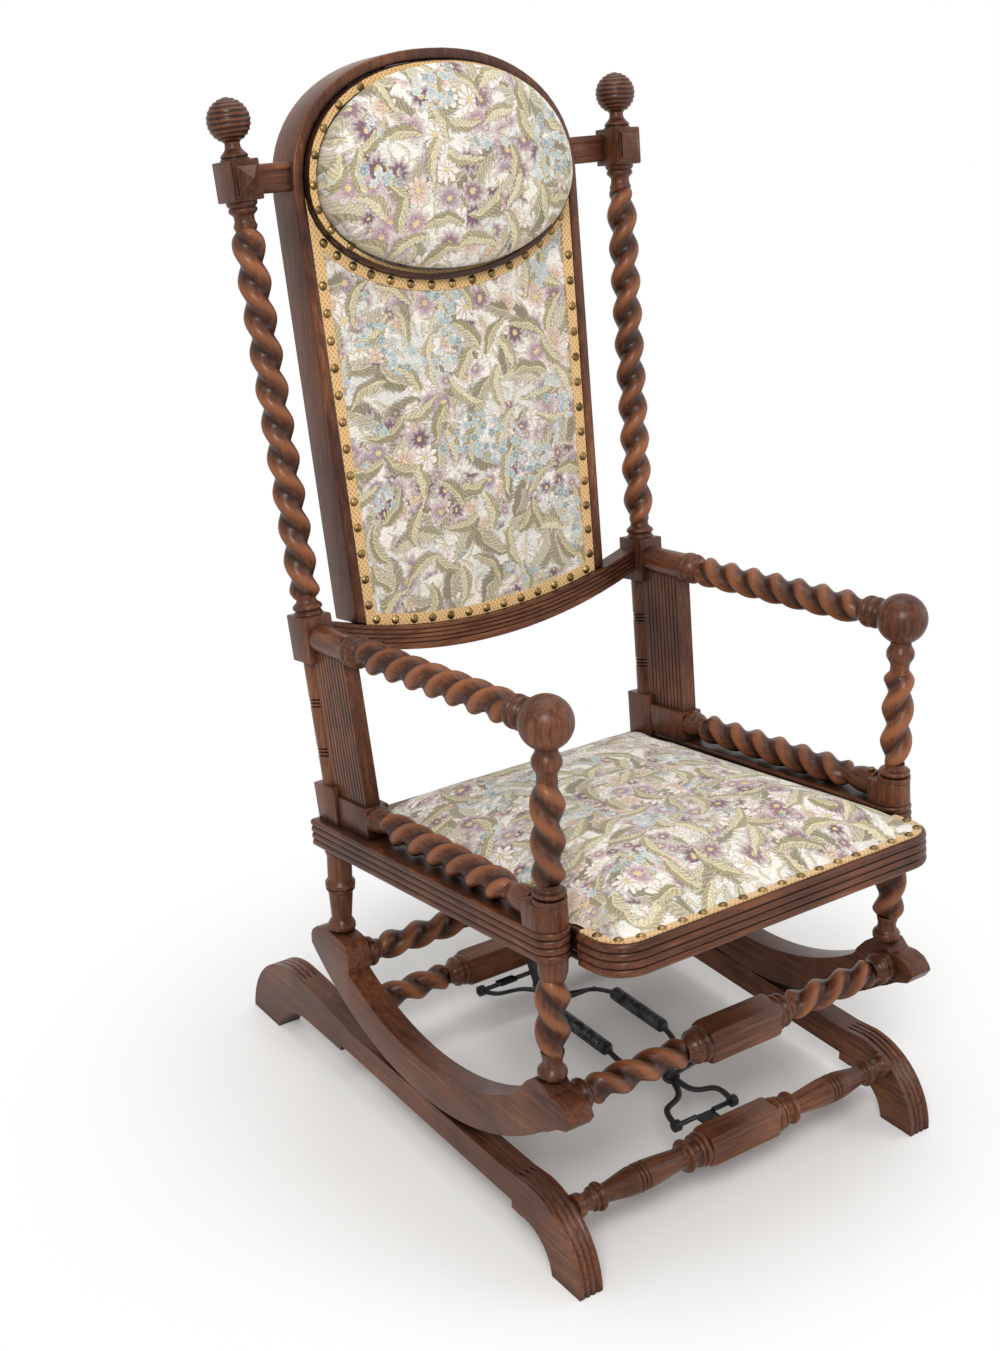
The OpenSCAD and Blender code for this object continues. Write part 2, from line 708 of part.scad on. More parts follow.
module back_post_left() {
    r = twist_radius;
    a = arm_block_h / 2;
    t = top_block_up - top_block_h / 2;
    lower = plinth_top + a;
    color(wood) placed()
        difference() {
            on_post()
                union() {
                    translate([0, 0, plinth_foot - 20]) square_block(block_w, block_d + 2, plinth_top - plinth_foot + 20);
                    turned([[0.8 * r, plinth_top - 1], [0.8 * r, plinth_top - lower * 0.24], [0.72 * r, plinth_top - lower * 0.25], [0.8 * r, plinth_top - lower * 0.26],
                        [0.72 * r, plinth_top - lower * 0.27], [0.8 * r, plinth_top - lower * 0.28], [0.72 * r, plinth_top - lower * 0.29], [0.8 * r, plinth_top - lower * 0.30],
                        [0.8 * r, plinth_top - lower * 0.64], [0.72 * r, plinth_top - lower * 0.65], [0.8 * r, plinth_top - lower * 0.66], [0.72 * r, plinth_top - lower * 0.67],
                        [0.8 * r, plinth_top - lower * 0.68], [0.72 * r, plinth_top - lower * 0.69], [0.8 * r, plinth_top - lower * 0.70], [0.8 * r, 1 - a]]);
                    translate([0, 0, -a]) square_block(block_w, block_d, arm_block_h);
                    turned([[0.9 * r, a - 1], [0.9 * r, a + 0.12 * r], [0.75 * r, a + 0.25 * r], [0.95 * r, a + 0.4 * r], [0.88 * r, a + 0.6 * r], [0.6 * r, a + 0.8 * r],
                        [0.6 * r, a + 1.3 * r]]);
                    translate([0, 0, a + 0.9 * r]) twist(t - a - 2.3 * r, r, twist_rise, 1);
                    turned([[0.6 * r, t - 1.7 * r], [0.74 * r, t - 1.42 * r], [0.62 * r, t - 1.2 * r], [0.6 * r, t - 1.0 * r], [0.6 * r, t - 0.8 * r], [0.86 * r, t - 0.6 * r],
                        [0.86 * r, t - 0.4 * r], [0.75 * r, t - 0.35 * r], [0.92 * r, t - 0.2 * r], [0.92 * r, t + 1]]);
                    translate([0, 0, t]) square_block(block_w, block_d, top_block_h);
                }
            seat()
                translate([-arm_gap, 0, -arm_gap])
                    cube([2 * arm_gap, 2 * arm_gap, arm_gap]);
        }
}
module back_post_right() { right() back_post_left(); }

module finial_left() {
    r = finial_radius;
    base = top_block_up + top_block_h / 2;
    n = 9;
    up = finial_up;
    color(wood) placed()
        on_post()
            turned(concat(
                [[0.62 * r, base], [0.62 * r, base + 0.06 * r], [0.5 * r, base + 0.14 * r], [0.58 * r, base + 0.22 * r], [0.52 * r, base + 0.34 * r], [0.34 * r, base + 0.5 * r],
                    [0.34 * r, up - 0.94 * r]],
                [for (i = [0 : 2 * n]) let(a = -66 + i * 8.3, k = i % 2 == 0 ? 1 : 0.955) [k * r * cos(a), up + k * r * sin(a)]],
                [[0, up + r]]));
}
module finial_right() { right() finial_left(); }

// nested square steps with a four-sided point, on the front of the top block
module pyramid_boss_left() {
    w = block_w;
    color(wood) placed()
        on_post()
            translate([0, -block_d / 2, top_block_up])
                rotate([90, 0, 0])
                    union() {
                        translate([-w * 0.44, -w * 0.52, 0]) cube([w * 0.88, w * 1.04, 2]);
                        translate([-w * 0.37, -w * 0.44, 0]) cube([w * 0.74, w * 0.88, 4]);
                        translate([0, 0, 4])
                            polyhedron(
                                points = [[-w * 0.34, -w * 0.41, 0], [w * 0.34, -w * 0.41, 0], [w * 0.34, w * 0.41, 0], [-w * 0.34, w * 0.41, 0], [0, 0, w * 0.36]],
                                faces = [[0, 1, 2, 3], [1, 0, 4], [2, 1, 4], [3, 2, 4], [0, 3, 4]]);
                    }
}
module pyramid_boss_right() { right() pyramid_boss_left(); }

module panel_block_left() {
    w = panel_block_w;
    color(wood) placed()
        difference() {
            seat()
                translate([-panel_block_x - w / 2, panel_block_front, 0])
                    cube([w, panel_block_back - panel_block_front + block_d, panel_block_h]);
            on_post()
                translate([-block_w, -block_d / 2 - 1, plinth_foot * 2])
                    cube([2 * block_w, 4 * block_d, arm_gap]);
        }
}
module panel_block_right() { right() panel_block_left(); }

module side_panel_left() {
    front = 82;
    thick = 19;
    color(wood) placed()
        difference() {
            on_post()
                translate([-thick / 2, -front, plinth_foot * 1.1])
                    difference() {
                        cube([thick, front, abs(plinth_foot) * 1.1]);
                        for (i = [0 : 8])
                            for (s = [0, 1])
                                translate([s * thick, front * (0.06 + 0.083 * i), -1])
                                    cylinder(r = 1.3, h = arm_gap, $fn = 8);
                    }
            on_post()
                cylinder(r = twist_radius * 0.8 + eps, h = arm_gap * 1.2, center = true);
            on_post()
                translate([-block_w, -block_d / 2, -arm_block_h / 2])
                    cube([2 * block_w, block_d, 2 * arm_block_h]);
            run(arm_rear, ball_c)
                translate([0, 0, -block_d])
                    cylinder(r = twist_radius * 0.88 + eps, h = arm_gap);
            run(arm_rear, ball_c)
                translate([-arm_gap, -block_w, -block_d])
                    cube([arm_gap, 2 * block_w, arm_gap]);
            seat()
                translate([-arm_gap, 0, -arm_gap])
                    cube([2 * arm_gap, 2 * arm_gap, arm_gap + panel_block_h]);
            on_post()
                translate([-block_w, -block_d / 2 - 1, plinth_foot * 2])
                    cube([2 * block_w, 4 * block_d, abs(plinth_foot) * 2 + plinth_top]);
        }
}
module side_panel_right() { right() side_panel_left(); }

module seat_plan(inset, back) {
    w = rail_in_x - inset;
    wf = seat_front_half - inset;
    r = frame_corner - inset;
    f = -seat_reach + inset;
    translate([-w, f + r]) square([2 * w, back - f - r]);
    translate([-wf, f + r]) square([2 * wf, -seat_step - f - r]);
    translate([-wf + r, f]) square([2 * (wf - r), r + 1]);
    for (m = [-1, 1])
        translate([m * (wf - r), f + r]) circle(r = r);
}

// the frame is narrowed behind the posts so that it fits between the rails
module seat_frame() {
    h = frame_height;
    color(wood) placed()
        seat()
            translate([0, 0, -h - seat_drop])
                difference() {
                    linear_extrude(h) seat_plan(0, frame_back);
                    translate([0, 0, -1])
                        linear_extrude(h + 2)
                            translate([-rail_in_x + 58, -seat_reach + 62])
                                square([2 * (rail_in_x - 58), frame_back + seat_reach - 120]);
                    for (i = [1 : 3])
                        translate([0, 0, h * i / 4 - h * 0.03])
                            linear_extrude(h * 0.06)
                                difference() {
                                    translate([-arm_gap, -arm_gap]) square([arm_gap * 2, arm_gap * 3]);
                                    seat_plan(h * 0.06, frame_back + arm_gap);
                                }
                }
}

module seat_webbing() {
    color(cloth) placed()
        seat()
            translate([-rail_in_x + 58 + eps, -seat_reach + 62 + eps, -seat_drop - 6])
                cube([2 * (rail_in_x - 58 - eps), frame_back + seat_reach - 120 - 2 * eps, 6 - eps]);
}

// layers of the seat pad, from the frame up to the crown
module seat_pad() {
    x = seat_front_half - seat_rim - 0.5 - gimp_width * 0.75;
    f = -seat_reach + seat_rim + 0.5 + gimp_width * 0.75;
    c = seat_crown;
    r = frame_corner - seat_rim - 0.5 - gimp_width * 0.75;
    color(cloth) placed()
        seat()
            translate([0, 0, -seat_drop + soft_gap])
                hull()
                    for (k = [[0, 0, 3], [4, 0.34, 8], [22, 0.68, 20], [58, 0.9, 30], [110, 1.0, 40]])
                        translate([0, 0, k[1] * c])
                            linear_extrude(0.5)
                                for (m = [-1, 1], n = [0, 1])
                                    translate([m * (x - k[0] - r), n == 0 ? f + k[0] + r : pad_back - k[0] - r])
                                        circle(r = r, $fn = 24);
}

module seat_gimp() {
    color(braid) placed()
        seat()
            translate([0, 0, -seat_drop + soft_gap])
                linear_extrude(gimp_thick)
                    difference() {
                        seat_plan(seat_rim, 8);
                        seat_plan(seat_rim + gimp_width * 0.75, 9);
                        translate([-arm_gap, -seat_step]) square([2 * arm_gap, arm_gap]);
                    }
}

// domed nail head, its flat face on z = 0
module dome_nail(r = nail_radius) {
    difference() {
        translate([0, 0, -0.6 * r]) sphere(r = 1.166 * r, $fn = 14);
        translate([-2 * r, -2 * r, -4 * r]) cube([4 * r, 4 * r, 4 * r]);
    }
}

seat_nail_count = 15;
module seat_nails() {
    r = frame_corner - seat_rim - gimp_width * 0.4;
    x = seat_front_half - frame_corner;
    y = frame_corner - seat_reach;
    color(metal) placed()
        seat()
            translate([0, 0, -seat_drop + gimp_thick + 2 * soft_gap])
                union() {
                    for (i = [0 : seat_nail_count - 1])
                        translate([(i / (seat_nail_count - 1) - 0.5) * 2 * x, y - r]) dome_nail();
                    for (m = [-1, 1]) {
                        translate([m * (x + r * cos(45)), y - r * sin(45)]) dome_nail();
                        translate([m * (x + r), y + 2]) dome_nail();
                    }
                }
}

// half width of the back frame at a height
function half_at(u) = back_half + (back_top_half - back_half) * u / shoulder_up;

// point of the arch at an angle, a little fuller than an ellipse
function arch_at(a, rise, t) = [a * sign(cos(t)) * pow(abs(cos(t)), arch_power), shoulder_up + rise * pow(abs(sin(t)), arch_power)];

module back_shape(inset) {
    n = 36;
    b = back_top_half - inset;
    polygon(concat(
        [[-half_at(-40) + inset, -40], [half_at(-40) - inset, -40]],
        [for (i = [0 : n]) arch_at(b, arch_rise - inset, 180 * i / n)]));
}

module smile(r) {
    translate([0, smile_top + smile_radius]) circle(r = r, $fn = 160);
}

// flat shape in the plane of the back, given depth toward the rear from a starting depth
module slab(y0, depth) {
    translate([0, y0 + depth, 0])
        rotate([90, 0, 0])
            linear_extrude(depth)
                children();
}

module back_frame() {
    color(wood) placed()
        lean()
            union() {
                slab(0, back_depth)
                    difference() {
                        intersection() {
                            back_shape(0);
                            smile(smile_radius - eps / 2);
                        }
                        back_shape(frame_edge);
                    }
            }
}

module cross_bar_left() {
    z = top_block_up;
    x0 = post_x + top_block_up * tan(post_splay) - block_w / 2;
    color(wood) placed()
        difference() {
            lean()
                translate([-x0 - block_w * 0.2, 11, z])
                    rotate([0, 90, 0])
                        union() {
                            for (m = [-1, 1])
                                translate([m * 11, 0, 0]) cylinder(r = 5, h = x0 - back_top_half + block_w * 0.4, $fn = 24);
                            translate([-11, -3, 0]) cube([22, 8, x0 - back_top_half + block_w * 0.4]);
                        }
            on_post()
                translate([-block_w / 2, -block_d, top_block_up - block_d])
                    cube([block_w, 2 * block_d, 2 * block_d]);
            lean()
                slab(-block_d, 3 * block_d) back_shape(0);
        }
}
module cross_bar_right() { right() cross_bar_left(); }

module lower_back_rail() {
    ends = post_x;
    color(wood) placed()
        difference() {
            lean()
                slab(-8, 26)
                    difference() {
                        intersection() {
                            smile(smile_radius + rail_band);
                            translate([-ends, -100]) square([2 * ends, 200]);
                            translate([0, smile_top + smile_radius - 60]) circle(r = smile_radius + rail_band - 62, $fn = 200);
                        }
                        smile(smile_radius);
                    }
            lean()
                for (i = [0 : 3])
                    slab(-9, 3)
                        difference() {
                            smile(smile_radius + 5.2 * (i + 1));
                            smile(smile_radius + 5.2 * (i + 1) - 1.4);
                        }
            for (m = [0, 1])
                mirror([m, 0, 0])
                    on_post()
                        translate([-block_w * 1.5, -block_d, -2 * block_d])
                            cube([block_w * 2, 3 * block_d, 4 * block_d]);
        }
}

// flat panel behind everything, with a crown below the headrest
module back_pad() {
    e = frame_edge + eps;
    w = gimp_width + 1;
    color(cloth) placed()
        lean()
            union() {
                slab(pad_face, 20)
                    intersection() {
                        back_shape(e);
                        smile(smile_radius - eps);
                    }
                hull() {
                    slab(pad_face, 2)
                        intersection() {
                            back_shape(e + w);
                            smile(smile_radius - eps - w);
                            translate([-back_half, -back_half]) square([2 * back_half, back_half + shoulder_up - headrest_foot - w - 2]);
                        }
                    slab(-3, 2)
                        translate([-back_half * 0.5, back_half * 0.35])
                            square([back_half, back_half * 1.2]);
                }
            }
}

// outline of the headrest: the arch above, half an ellipse below, drawn in at the sides, top and foot
module headrest_plan(side, top, foot) {
    n = 24;
    a = headrest_a - side;
    polygon(concat(
        [for (i = [0 : n]) arch_at(a, headrest_top - top, 180 * i / n)],
        [for (i = [1 : n - 1]) [-a * cos(180 * i / n), shoulder_up - (headrest_foot - foot) * sin(180 * i / n)]]));
}

// half of an ellipse that hangs under the headrest
module under_arc(grow) {
    n = 40;
    polygon([for (i = [0 : n - 1]) [(headrest_a + grow) * cos(360 * i / n), shoulder_up + (headrest_foot + grow) * sin(360 * i / n)]]);
}

// braid strip along the inside of the back frame and across under the headrest
module back_gimp() {
    e = frame_edge + eps;
    w = gimp_width;
    color(braid) placed()
        lean()
            slab(pad_face - gimp_thick - soft_gap, gimp_thick)
                difference() {
                    union() {
                        difference() {
                            intersection() {
                                back_shape(e);
                                smile(smile_radius - eps);
                            }
                            intersection() {
                                back_shape(e + w);
                                smile(smile_radius - eps - w);
                            }
                        }
                        intersection() {
                            back_shape(e);
                            under_arc(w);
                        }
                    }
                    under_arc(1);
                    translate([-back_half * 2, shoulder_up]) square([back_half * 4, back_rise]);
                }
}

side_nails = 13;
foot_nails = 13;
arc_nails = 15;
module back_nails() {
    y = pad_face - gimp_thick - 2 * soft_gap;
    inset = frame_edge + gimp_width * 0.5;
    color(metal) placed()
        lean()
            union() {
                for (m = [-1, 1], i = [0 : side_nails - 1]) {
                    u = 20 + 30.6 * i;
                    translate([m * (half_at(u) - inset), y, u]) rotate([90, 0, 0]) dome_nail();
                }
                for (i = [0 : foot_nails - 1]) {
                    a = (i / (foot_nails - 1) - 0.5) * 2 * 13.1;
                    r = smile_radius - gimp_width * 0.5;
                    translate([r * sin(a), y, smile_top + smile_radius - r * cos(a)]) rotate([90, 0, 0]) dome_nail();
                }
                for (i = [0 : arc_nails - 1]) {
                    t = 270 + (i / (arc_nails - 1) - 0.5) * 124;
                    translate([(headrest_a + gimp_width * 0.5) * cos(t), y, shoulder_up + (headrest_foot + gimp_width * 0.5) * sin(t)])
                        rotate([90, 0, 0]) dome_nail();
                }
            }
}

// dark moulded rim that carries the headrest, with a ledge for its braid
module headrest_rim() {
    g = rim_side + thin_gimp;
    color(dark) placed()
        lean()
            union() {
                slab(rim_front, pad_face - soft_gap - rim_front)
                    difference() {
                        headrest_plan(0, 0, 0);
                        headrest_plan(rim_side, rim_side, rim_width);
                    }
                slab(ledge_front, pad_face - soft_gap - ledge_front)
                    difference() {
                        headrest_plan(rim_side - 1, rim_side - 1, rim_width - 1);
                        headrest_plan(g, g, rim_width + rim_side);
                    }
            }
}

module headrest_gimp() {
    g = rim_side + thin_gimp;
    color(braid) placed()
        lean()
            slab(ledge_front - gimp_thick - soft_gap, gimp_thick)
                difference() {
                    headrest_plan(rim_side + soft_gap, rim_side + soft_gap, rim_width + soft_gap);
                    headrest_plan(g, g, rim_width + rim_side);
                }
}

// full cushion: it swells over its braid, then rounds off to the crown
module headrest_cushion() {
    c = headrest_crown;
    color(cloth) placed()
        lean()
            hull()
                for (k = [[17, 17, 16, 0], [6, 3, 10, 0.46], [7, 4, 11, 0.6], [15, 11, 19, 0.8], [37, 30, 39, 0.93], [80, 62, 64, 1.0]])
                    slab(pad_face - soft_gap - 0.6 - k[3] * c, 0.6)
                        headrest_plan(k[0], k[1], k[2]);
}

headrest_nail_count = 8;
module headrest_nails() {
    e = rim_side + thin_gimp * 0.58;
    color(metal) placed()
        lean()
            for (m = [0, 1], i = [0 : headrest_nail_count - 1]) {
                t = 123 + 13.6 * i;
                p = sin(t) > 0 ? arch_at(headrest_a - e, headrest_top - e, t) : [(headrest_a - e) * cos(t), shoulder_up + (headrest_foot - rim_width - 4.8) * sin(t)];
                mirror([m, 0, 0])
                    translate([p[0], ledge_front - gimp_thick - 2 * soft_gap, p[1]])
                        rotate([90, 0, 0])
                            dome_nail(small_nail_radius);
            }
}

base_rail_left();
base_rail_right();
base_stretcher_front();
base_stretcher_rear();
hinge_rod_front();
hinge_rod_rear();
lever_front();
lever_rear();
spring_left();
spring_right();
link_strap_front();
link_strap_rear();
rocker_left();
rocker_right();
rocker_stretcher_front();
rocker_stretcher_rear();
rear_leg_left();
rear_leg_right();
front_leg_left();
front_leg_right();
side_rail_left();
side_rail_right();
post_block_left();
post_block_right();
arm_post_left();
arm_post_right();
arm_ball_left();
arm_ball_right();
arm_left();
arm_right();
lower_side_rail_left();
lower_side_rail_right();
rail_screws();
back_post_left();
back_post_right();
finial_left();
finial_right();
pyramid_boss_left();
pyramid_boss_right();
panel_block_left();
panel_block_right();
side_panel_left();
side_panel_right();
seat_frame();
seat_webbing();
seat_pad();
seat_gimp();
seat_nails();
back_frame();
cross_bar_left();
cross_bar_right();
lower_back_rail();
back_pad();
back_gimp();
back_nails();
headrest_rim();
headrest_gimp();
headrest_cushion();
headrest_nails();
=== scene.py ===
import bpy
import bmesh
import math
from mathutils import Matrix, Vector
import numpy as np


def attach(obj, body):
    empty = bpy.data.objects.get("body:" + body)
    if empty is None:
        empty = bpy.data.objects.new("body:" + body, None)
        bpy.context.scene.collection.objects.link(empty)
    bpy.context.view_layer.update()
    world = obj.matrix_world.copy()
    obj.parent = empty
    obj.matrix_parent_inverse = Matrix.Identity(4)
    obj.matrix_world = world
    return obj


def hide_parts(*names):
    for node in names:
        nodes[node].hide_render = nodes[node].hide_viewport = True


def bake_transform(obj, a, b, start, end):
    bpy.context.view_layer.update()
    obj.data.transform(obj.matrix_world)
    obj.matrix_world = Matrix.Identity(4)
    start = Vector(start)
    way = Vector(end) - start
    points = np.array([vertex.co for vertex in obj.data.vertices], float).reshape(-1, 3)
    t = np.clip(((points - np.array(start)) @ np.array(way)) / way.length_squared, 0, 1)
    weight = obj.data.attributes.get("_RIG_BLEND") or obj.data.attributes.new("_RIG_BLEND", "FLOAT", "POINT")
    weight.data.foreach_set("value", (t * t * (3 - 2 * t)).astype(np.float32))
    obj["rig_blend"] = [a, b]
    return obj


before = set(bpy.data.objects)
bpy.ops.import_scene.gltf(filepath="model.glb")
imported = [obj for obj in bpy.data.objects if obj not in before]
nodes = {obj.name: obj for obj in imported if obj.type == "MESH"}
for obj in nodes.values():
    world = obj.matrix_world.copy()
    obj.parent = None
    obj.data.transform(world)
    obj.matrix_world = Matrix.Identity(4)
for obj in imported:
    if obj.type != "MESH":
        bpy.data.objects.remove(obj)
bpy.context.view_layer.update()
print("frame loaded")

# where the chair's own planes stand, in millimetres and degrees
chairPlan = {
    "shift": 5.924,          # whole chair toward the rear
    "seatOrigin": (0, -275, 401),
    "seatPitch": 7.0,
    "backOrigin": (0, 181, 569),
    "backLean": 9.4,
    "postX": 241.6,
    "postSplay": 2.0,
    "armX": 240.5,
    "twistRise": 39.0,       # along the post, from one strand to the next
}


def turned(degrees, axis):
    return Matrix.Rotation(math.radians(degrees), 4, axis)


def moveBy(x, y, z):
    return Matrix.Translation((x, y, z))


def fromTo(a, b):
    step = Vector(b) - Vector(a)
    return moveBy(*a) @ step.to_track_quat("Z", "Y").to_matrix().to_4x4()


placed = moveBy(0, chairPlan["shift"], 0)
seatPlane = placed @ moveBy(*chairPlan["seatOrigin"]) @ turned(-chairPlan["seatPitch"], "X")
backPlane = placed @ moveBy(*chairPlan["backOrigin"]) @ turned(-chairPlan["backLean"], "X")
postPlane = backPlane @ moveBy(-chairPlan["postX"], 0, 0) @ turned(-chairPlan["postSplay"], "Y")
mirrorX = Matrix.Scale(-1, 4, (1, 0, 0))


def toLinear(hexCode):
    channels = [int(hexCode[i:i + 2], 16) / 255 for i in (1, 3, 5)]
    return tuple(c / 12.92 if c <= 0.04045 else ((c + 0.055) / 1.055) ** 2.4 for c in channels) + (1.0,)


# a setting that is a node or a socket is linked, and stops are the colours of a ramp
def addNode(tree, kind, settings):
    node = tree.nodes.new("ShaderNode" + kind)
    for key, value in settings.items():
        if isinstance(value, bpy.types.Node):
            value = value.outputs[0]
        if isinstance(value, bpy.types.NodeSocket):
            tree.links.new(value, node.inputs[key])
        elif key == "stops":
            elements = node.color_ramp.elements
            while len(elements) < len(value):
                elements.new(0.5)
            for element, (position, colour) in zip(elements, value):
                element.position = position
                element.color = toLinear(colour)
        elif isinstance(key, int) or key in node.inputs:
            node.inputs[key].default_value = value
        else:
            setattr(node, key, value)
    return node


def newMaterial(name):
    material = bpy.data.materials.new(name)
    material.use_nodes = True
    material.node_tree.nodes.clear()
    return material, material.node_tree


# walnut, turned and rubbed with shellac: warm brown, with painted shade that makes the hollows near-black and
# orange-brown ridges that are partly wear and partly painted highlight
walnut = {
    "grainWidth": 1.5,       # mm across the grain
    "grainLength": 60.0,     # mm along it
    # the last colour lightens the ridges: partly wear, partly painted highlight
    "deep": "#33190F", "dark": "#4A2A1B", "mid": "#633A26", "light": "#875535", "wornAndLit": "#965D3B",
    # near-black of the painted shade in hollows and corners, also the colour of the ebonising stain
    "hollowShadeAndStain": "#170B07",
    "poreShare": 0.45,       # how far an open pore darkens
    "shadeReach": 15.0,     # mm over which painted shade darkens a corner
    # how strongly painted shade darkens a corner
    "shadeStrength": 1.25,
    "roughness": 0.36, "shine": 0.16, "coat": 0.15, "coatRoughness": 0.2,
    "relief": 0.6,           # mm
}


def walnutMaterial(name, along, tone=1.0):
    material, tree = newMaterial(name)
    scale = [125 / walnut["grainWidth"]] * 3
    scale["XYZ".index(along)] = 250 / walnut["grainLength"]
    where = addNode(tree, "TexCoord", {}).outputs["Object"]
    drawn = addNode(tree, "Mapping", {"Vector": where, "Scale": scale})
    grain = addNode(tree, "TexNoise", {"Vector": drawn, "Scale": 3.0, "Detail": 8.0, "Roughness": 0.62, "Distortion": 0.6})
    blotch = addNode(tree, "TexNoise", {"Vector": where, "Scale": 9.0, "Detail": 3.0})
    pores = addNode(tree, "TexNoise", {"Vector": drawn, "Scale": 16.0, "Detail": 2.0})
    figure = addNode(tree, "Math", {"operation": "MULTIPLY", 0: blotch, 1: 0.45})
    figure = addNode(tree, "Math", {"operation": "MULTIPLY_ADD", 0: grain, 1: 0.55, 2: figure})
    stops = [(0.32, walnut["deep"]), (0.44, walnut["dark"]), (0.54, walnut["mid"]), (0.68, walnut["light"])]
    colour = addNode(tree, "ValToRGB", {"Fac": figure, "stops": stops})
    pore = addNode(tree, "Math", {"operation": "GREATER_THAN", 0: pores, 1: 0.6})
    pore = addNode(tree, "Math", {"operation": "MULTIPLY", 0: pore, 1: walnut["poreShare"]})
    colour = addNode(tree, "Mix", {"data_type": "RGBA", 0: pore, 6: colour, 7: toLinear(walnut["deep"])}).outputs[2]
    # the ridges are lightened, mostly where the wood is blotched: partly wear from hands, partly painted highlight
    ridge = addNode(tree, "Attribute", {"attribute_name": "ridge"}).outputs["Fac"]
    rubbedAndLit = addNode(tree, "Math", {"operation": "MULTIPLY", 0: blotch, 1: 1.4})
    rubbedAndLit = addNode(tree, "Math", {"operation": "MULTIPLY", "use_clamp": True, 0: ridge, 1: rubbedAndLit})
    colour = addNode(tree, "Mix", {"data_type": "RGBA", 0: rubbedAndLit, 6: colour, 7: toLinear(walnut["wornAndLit"])}).outputs[2]
    # painted shade: the grooves of the turning and every corner are darkened towards near-black, by ambient occlusion
    # and the groove mask
    clear = addNode(tree, "AmbientOcclusion", {"samples": 6, "Distance": walnut["shadeReach"] / 1000}).outputs["AO"]
    shade = addNode(tree, "Math", {"operation": "SUBTRACT", 0: 1.0, 1: clear})
    shade = addNode(tree, "Math", {"operation": "MULTIPLY", "use_clamp": True, 0: shade, 1: walnut["shadeStrength"]})
    groove = addNode(tree, "Attribute", {"attribute_name": "groove"}).outputs["Fac"]
    groove = addNode(tree, "Math", {"operation": "MULTIPLY", 0: groove, 1: 0.8})
    shade = addNode(tree, "Math", {"operation": "MAXIMUM", 0: shade, 1: groove})
    colour = addNode(tree, "Mix", {"data_type": "RGBA", 0: shade, 6: colour, 7: toLinear(walnut["hollowShadeAndStain"])}).outputs[2]
    if tone < 1:
        colour = addNode(tree, "Mix", {"data_type": "RGBA", 0: 1 - tone, 6: colour, 7: toLinear(walnut["hollowShadeAndStain"])}).outputs[2]
    low, high = walnut["roughness"] - 0.06, walnut["roughness"] + 0.12
    rough = addNode(tree, "MapRange", {"Value": grain, "From Min": 0.3, "From Max": 0.7, "To Min": low, "To Max": high})
    bump = addNode(tree, "Bump", {"Strength": 0.25, "Distance": walnut["relief"] / 1000, "Height": grain})
    shader = addNode(tree, "BsdfPrincipled", {"Base Color": colour, "Roughness": rough, "Normal": bump,
                                              "Specular IOR Level": walnut["shine"], "Coat Weight": walnut["coat"],
                                              "Coat Roughness": walnut["coatRoughness"]})
    addNode(tree, "OutputMaterial", {"Surface": shader})
    return material


woods = {axis: walnutMaterial("walnut_shellacked_" + axis.lower(), axis) for axis in "XYZ"}
ebonised = walnutMaterial("walnut_ebonised", "X", 0.45)     # stained nearly black

# jacquard tapestry: wool-like weft flowers and ferns on an ivory ground
tapestry = {
    "ground": "#EFE7DC", "groundCool": "#DDDAD2", "outline": "#6A5F52",
    "leafDark": "#898069", "leafMid": "#AFA58A", "leafPale": "#D1C8AF",
    "fernDark": "#948A6A", "fernMid": "#BDB08C", "fernPale": "#DDD2B4",
    "sprayDark": "#C6B79C", "sprayMid": "#CDBE9F", "sprayPale": "#E4D9BC",
    "petals": ("#9A7A80", "#7B5C68", "#BFA0A4", "#DDBFA9", "#AE97A0", "#EFE6DA"),
    "petalShade": "#6D5160", "petalTip": "#F0E5DC", "eye": "#DCC796",
    "bluePetals": ("#A6BDC4", "#7F9BA6", "#C3D0D0", "#A6BDC4"),
    "leafCell": 54.0, "fernCell": 45.0, "sprayCell": 19.0,      # mm from one motif to the next
    "flowerCell": 34.0, "budCell": 21.08, "blueCell": 13.5,
    "wobble": 12.0,          # mm
    "thread": 1.3,           # mm; drawn a little coarse so that the weave shows
    "relief": 1.2,           # mm
    "roughness": 0.9, "sheen": 0.15,
}


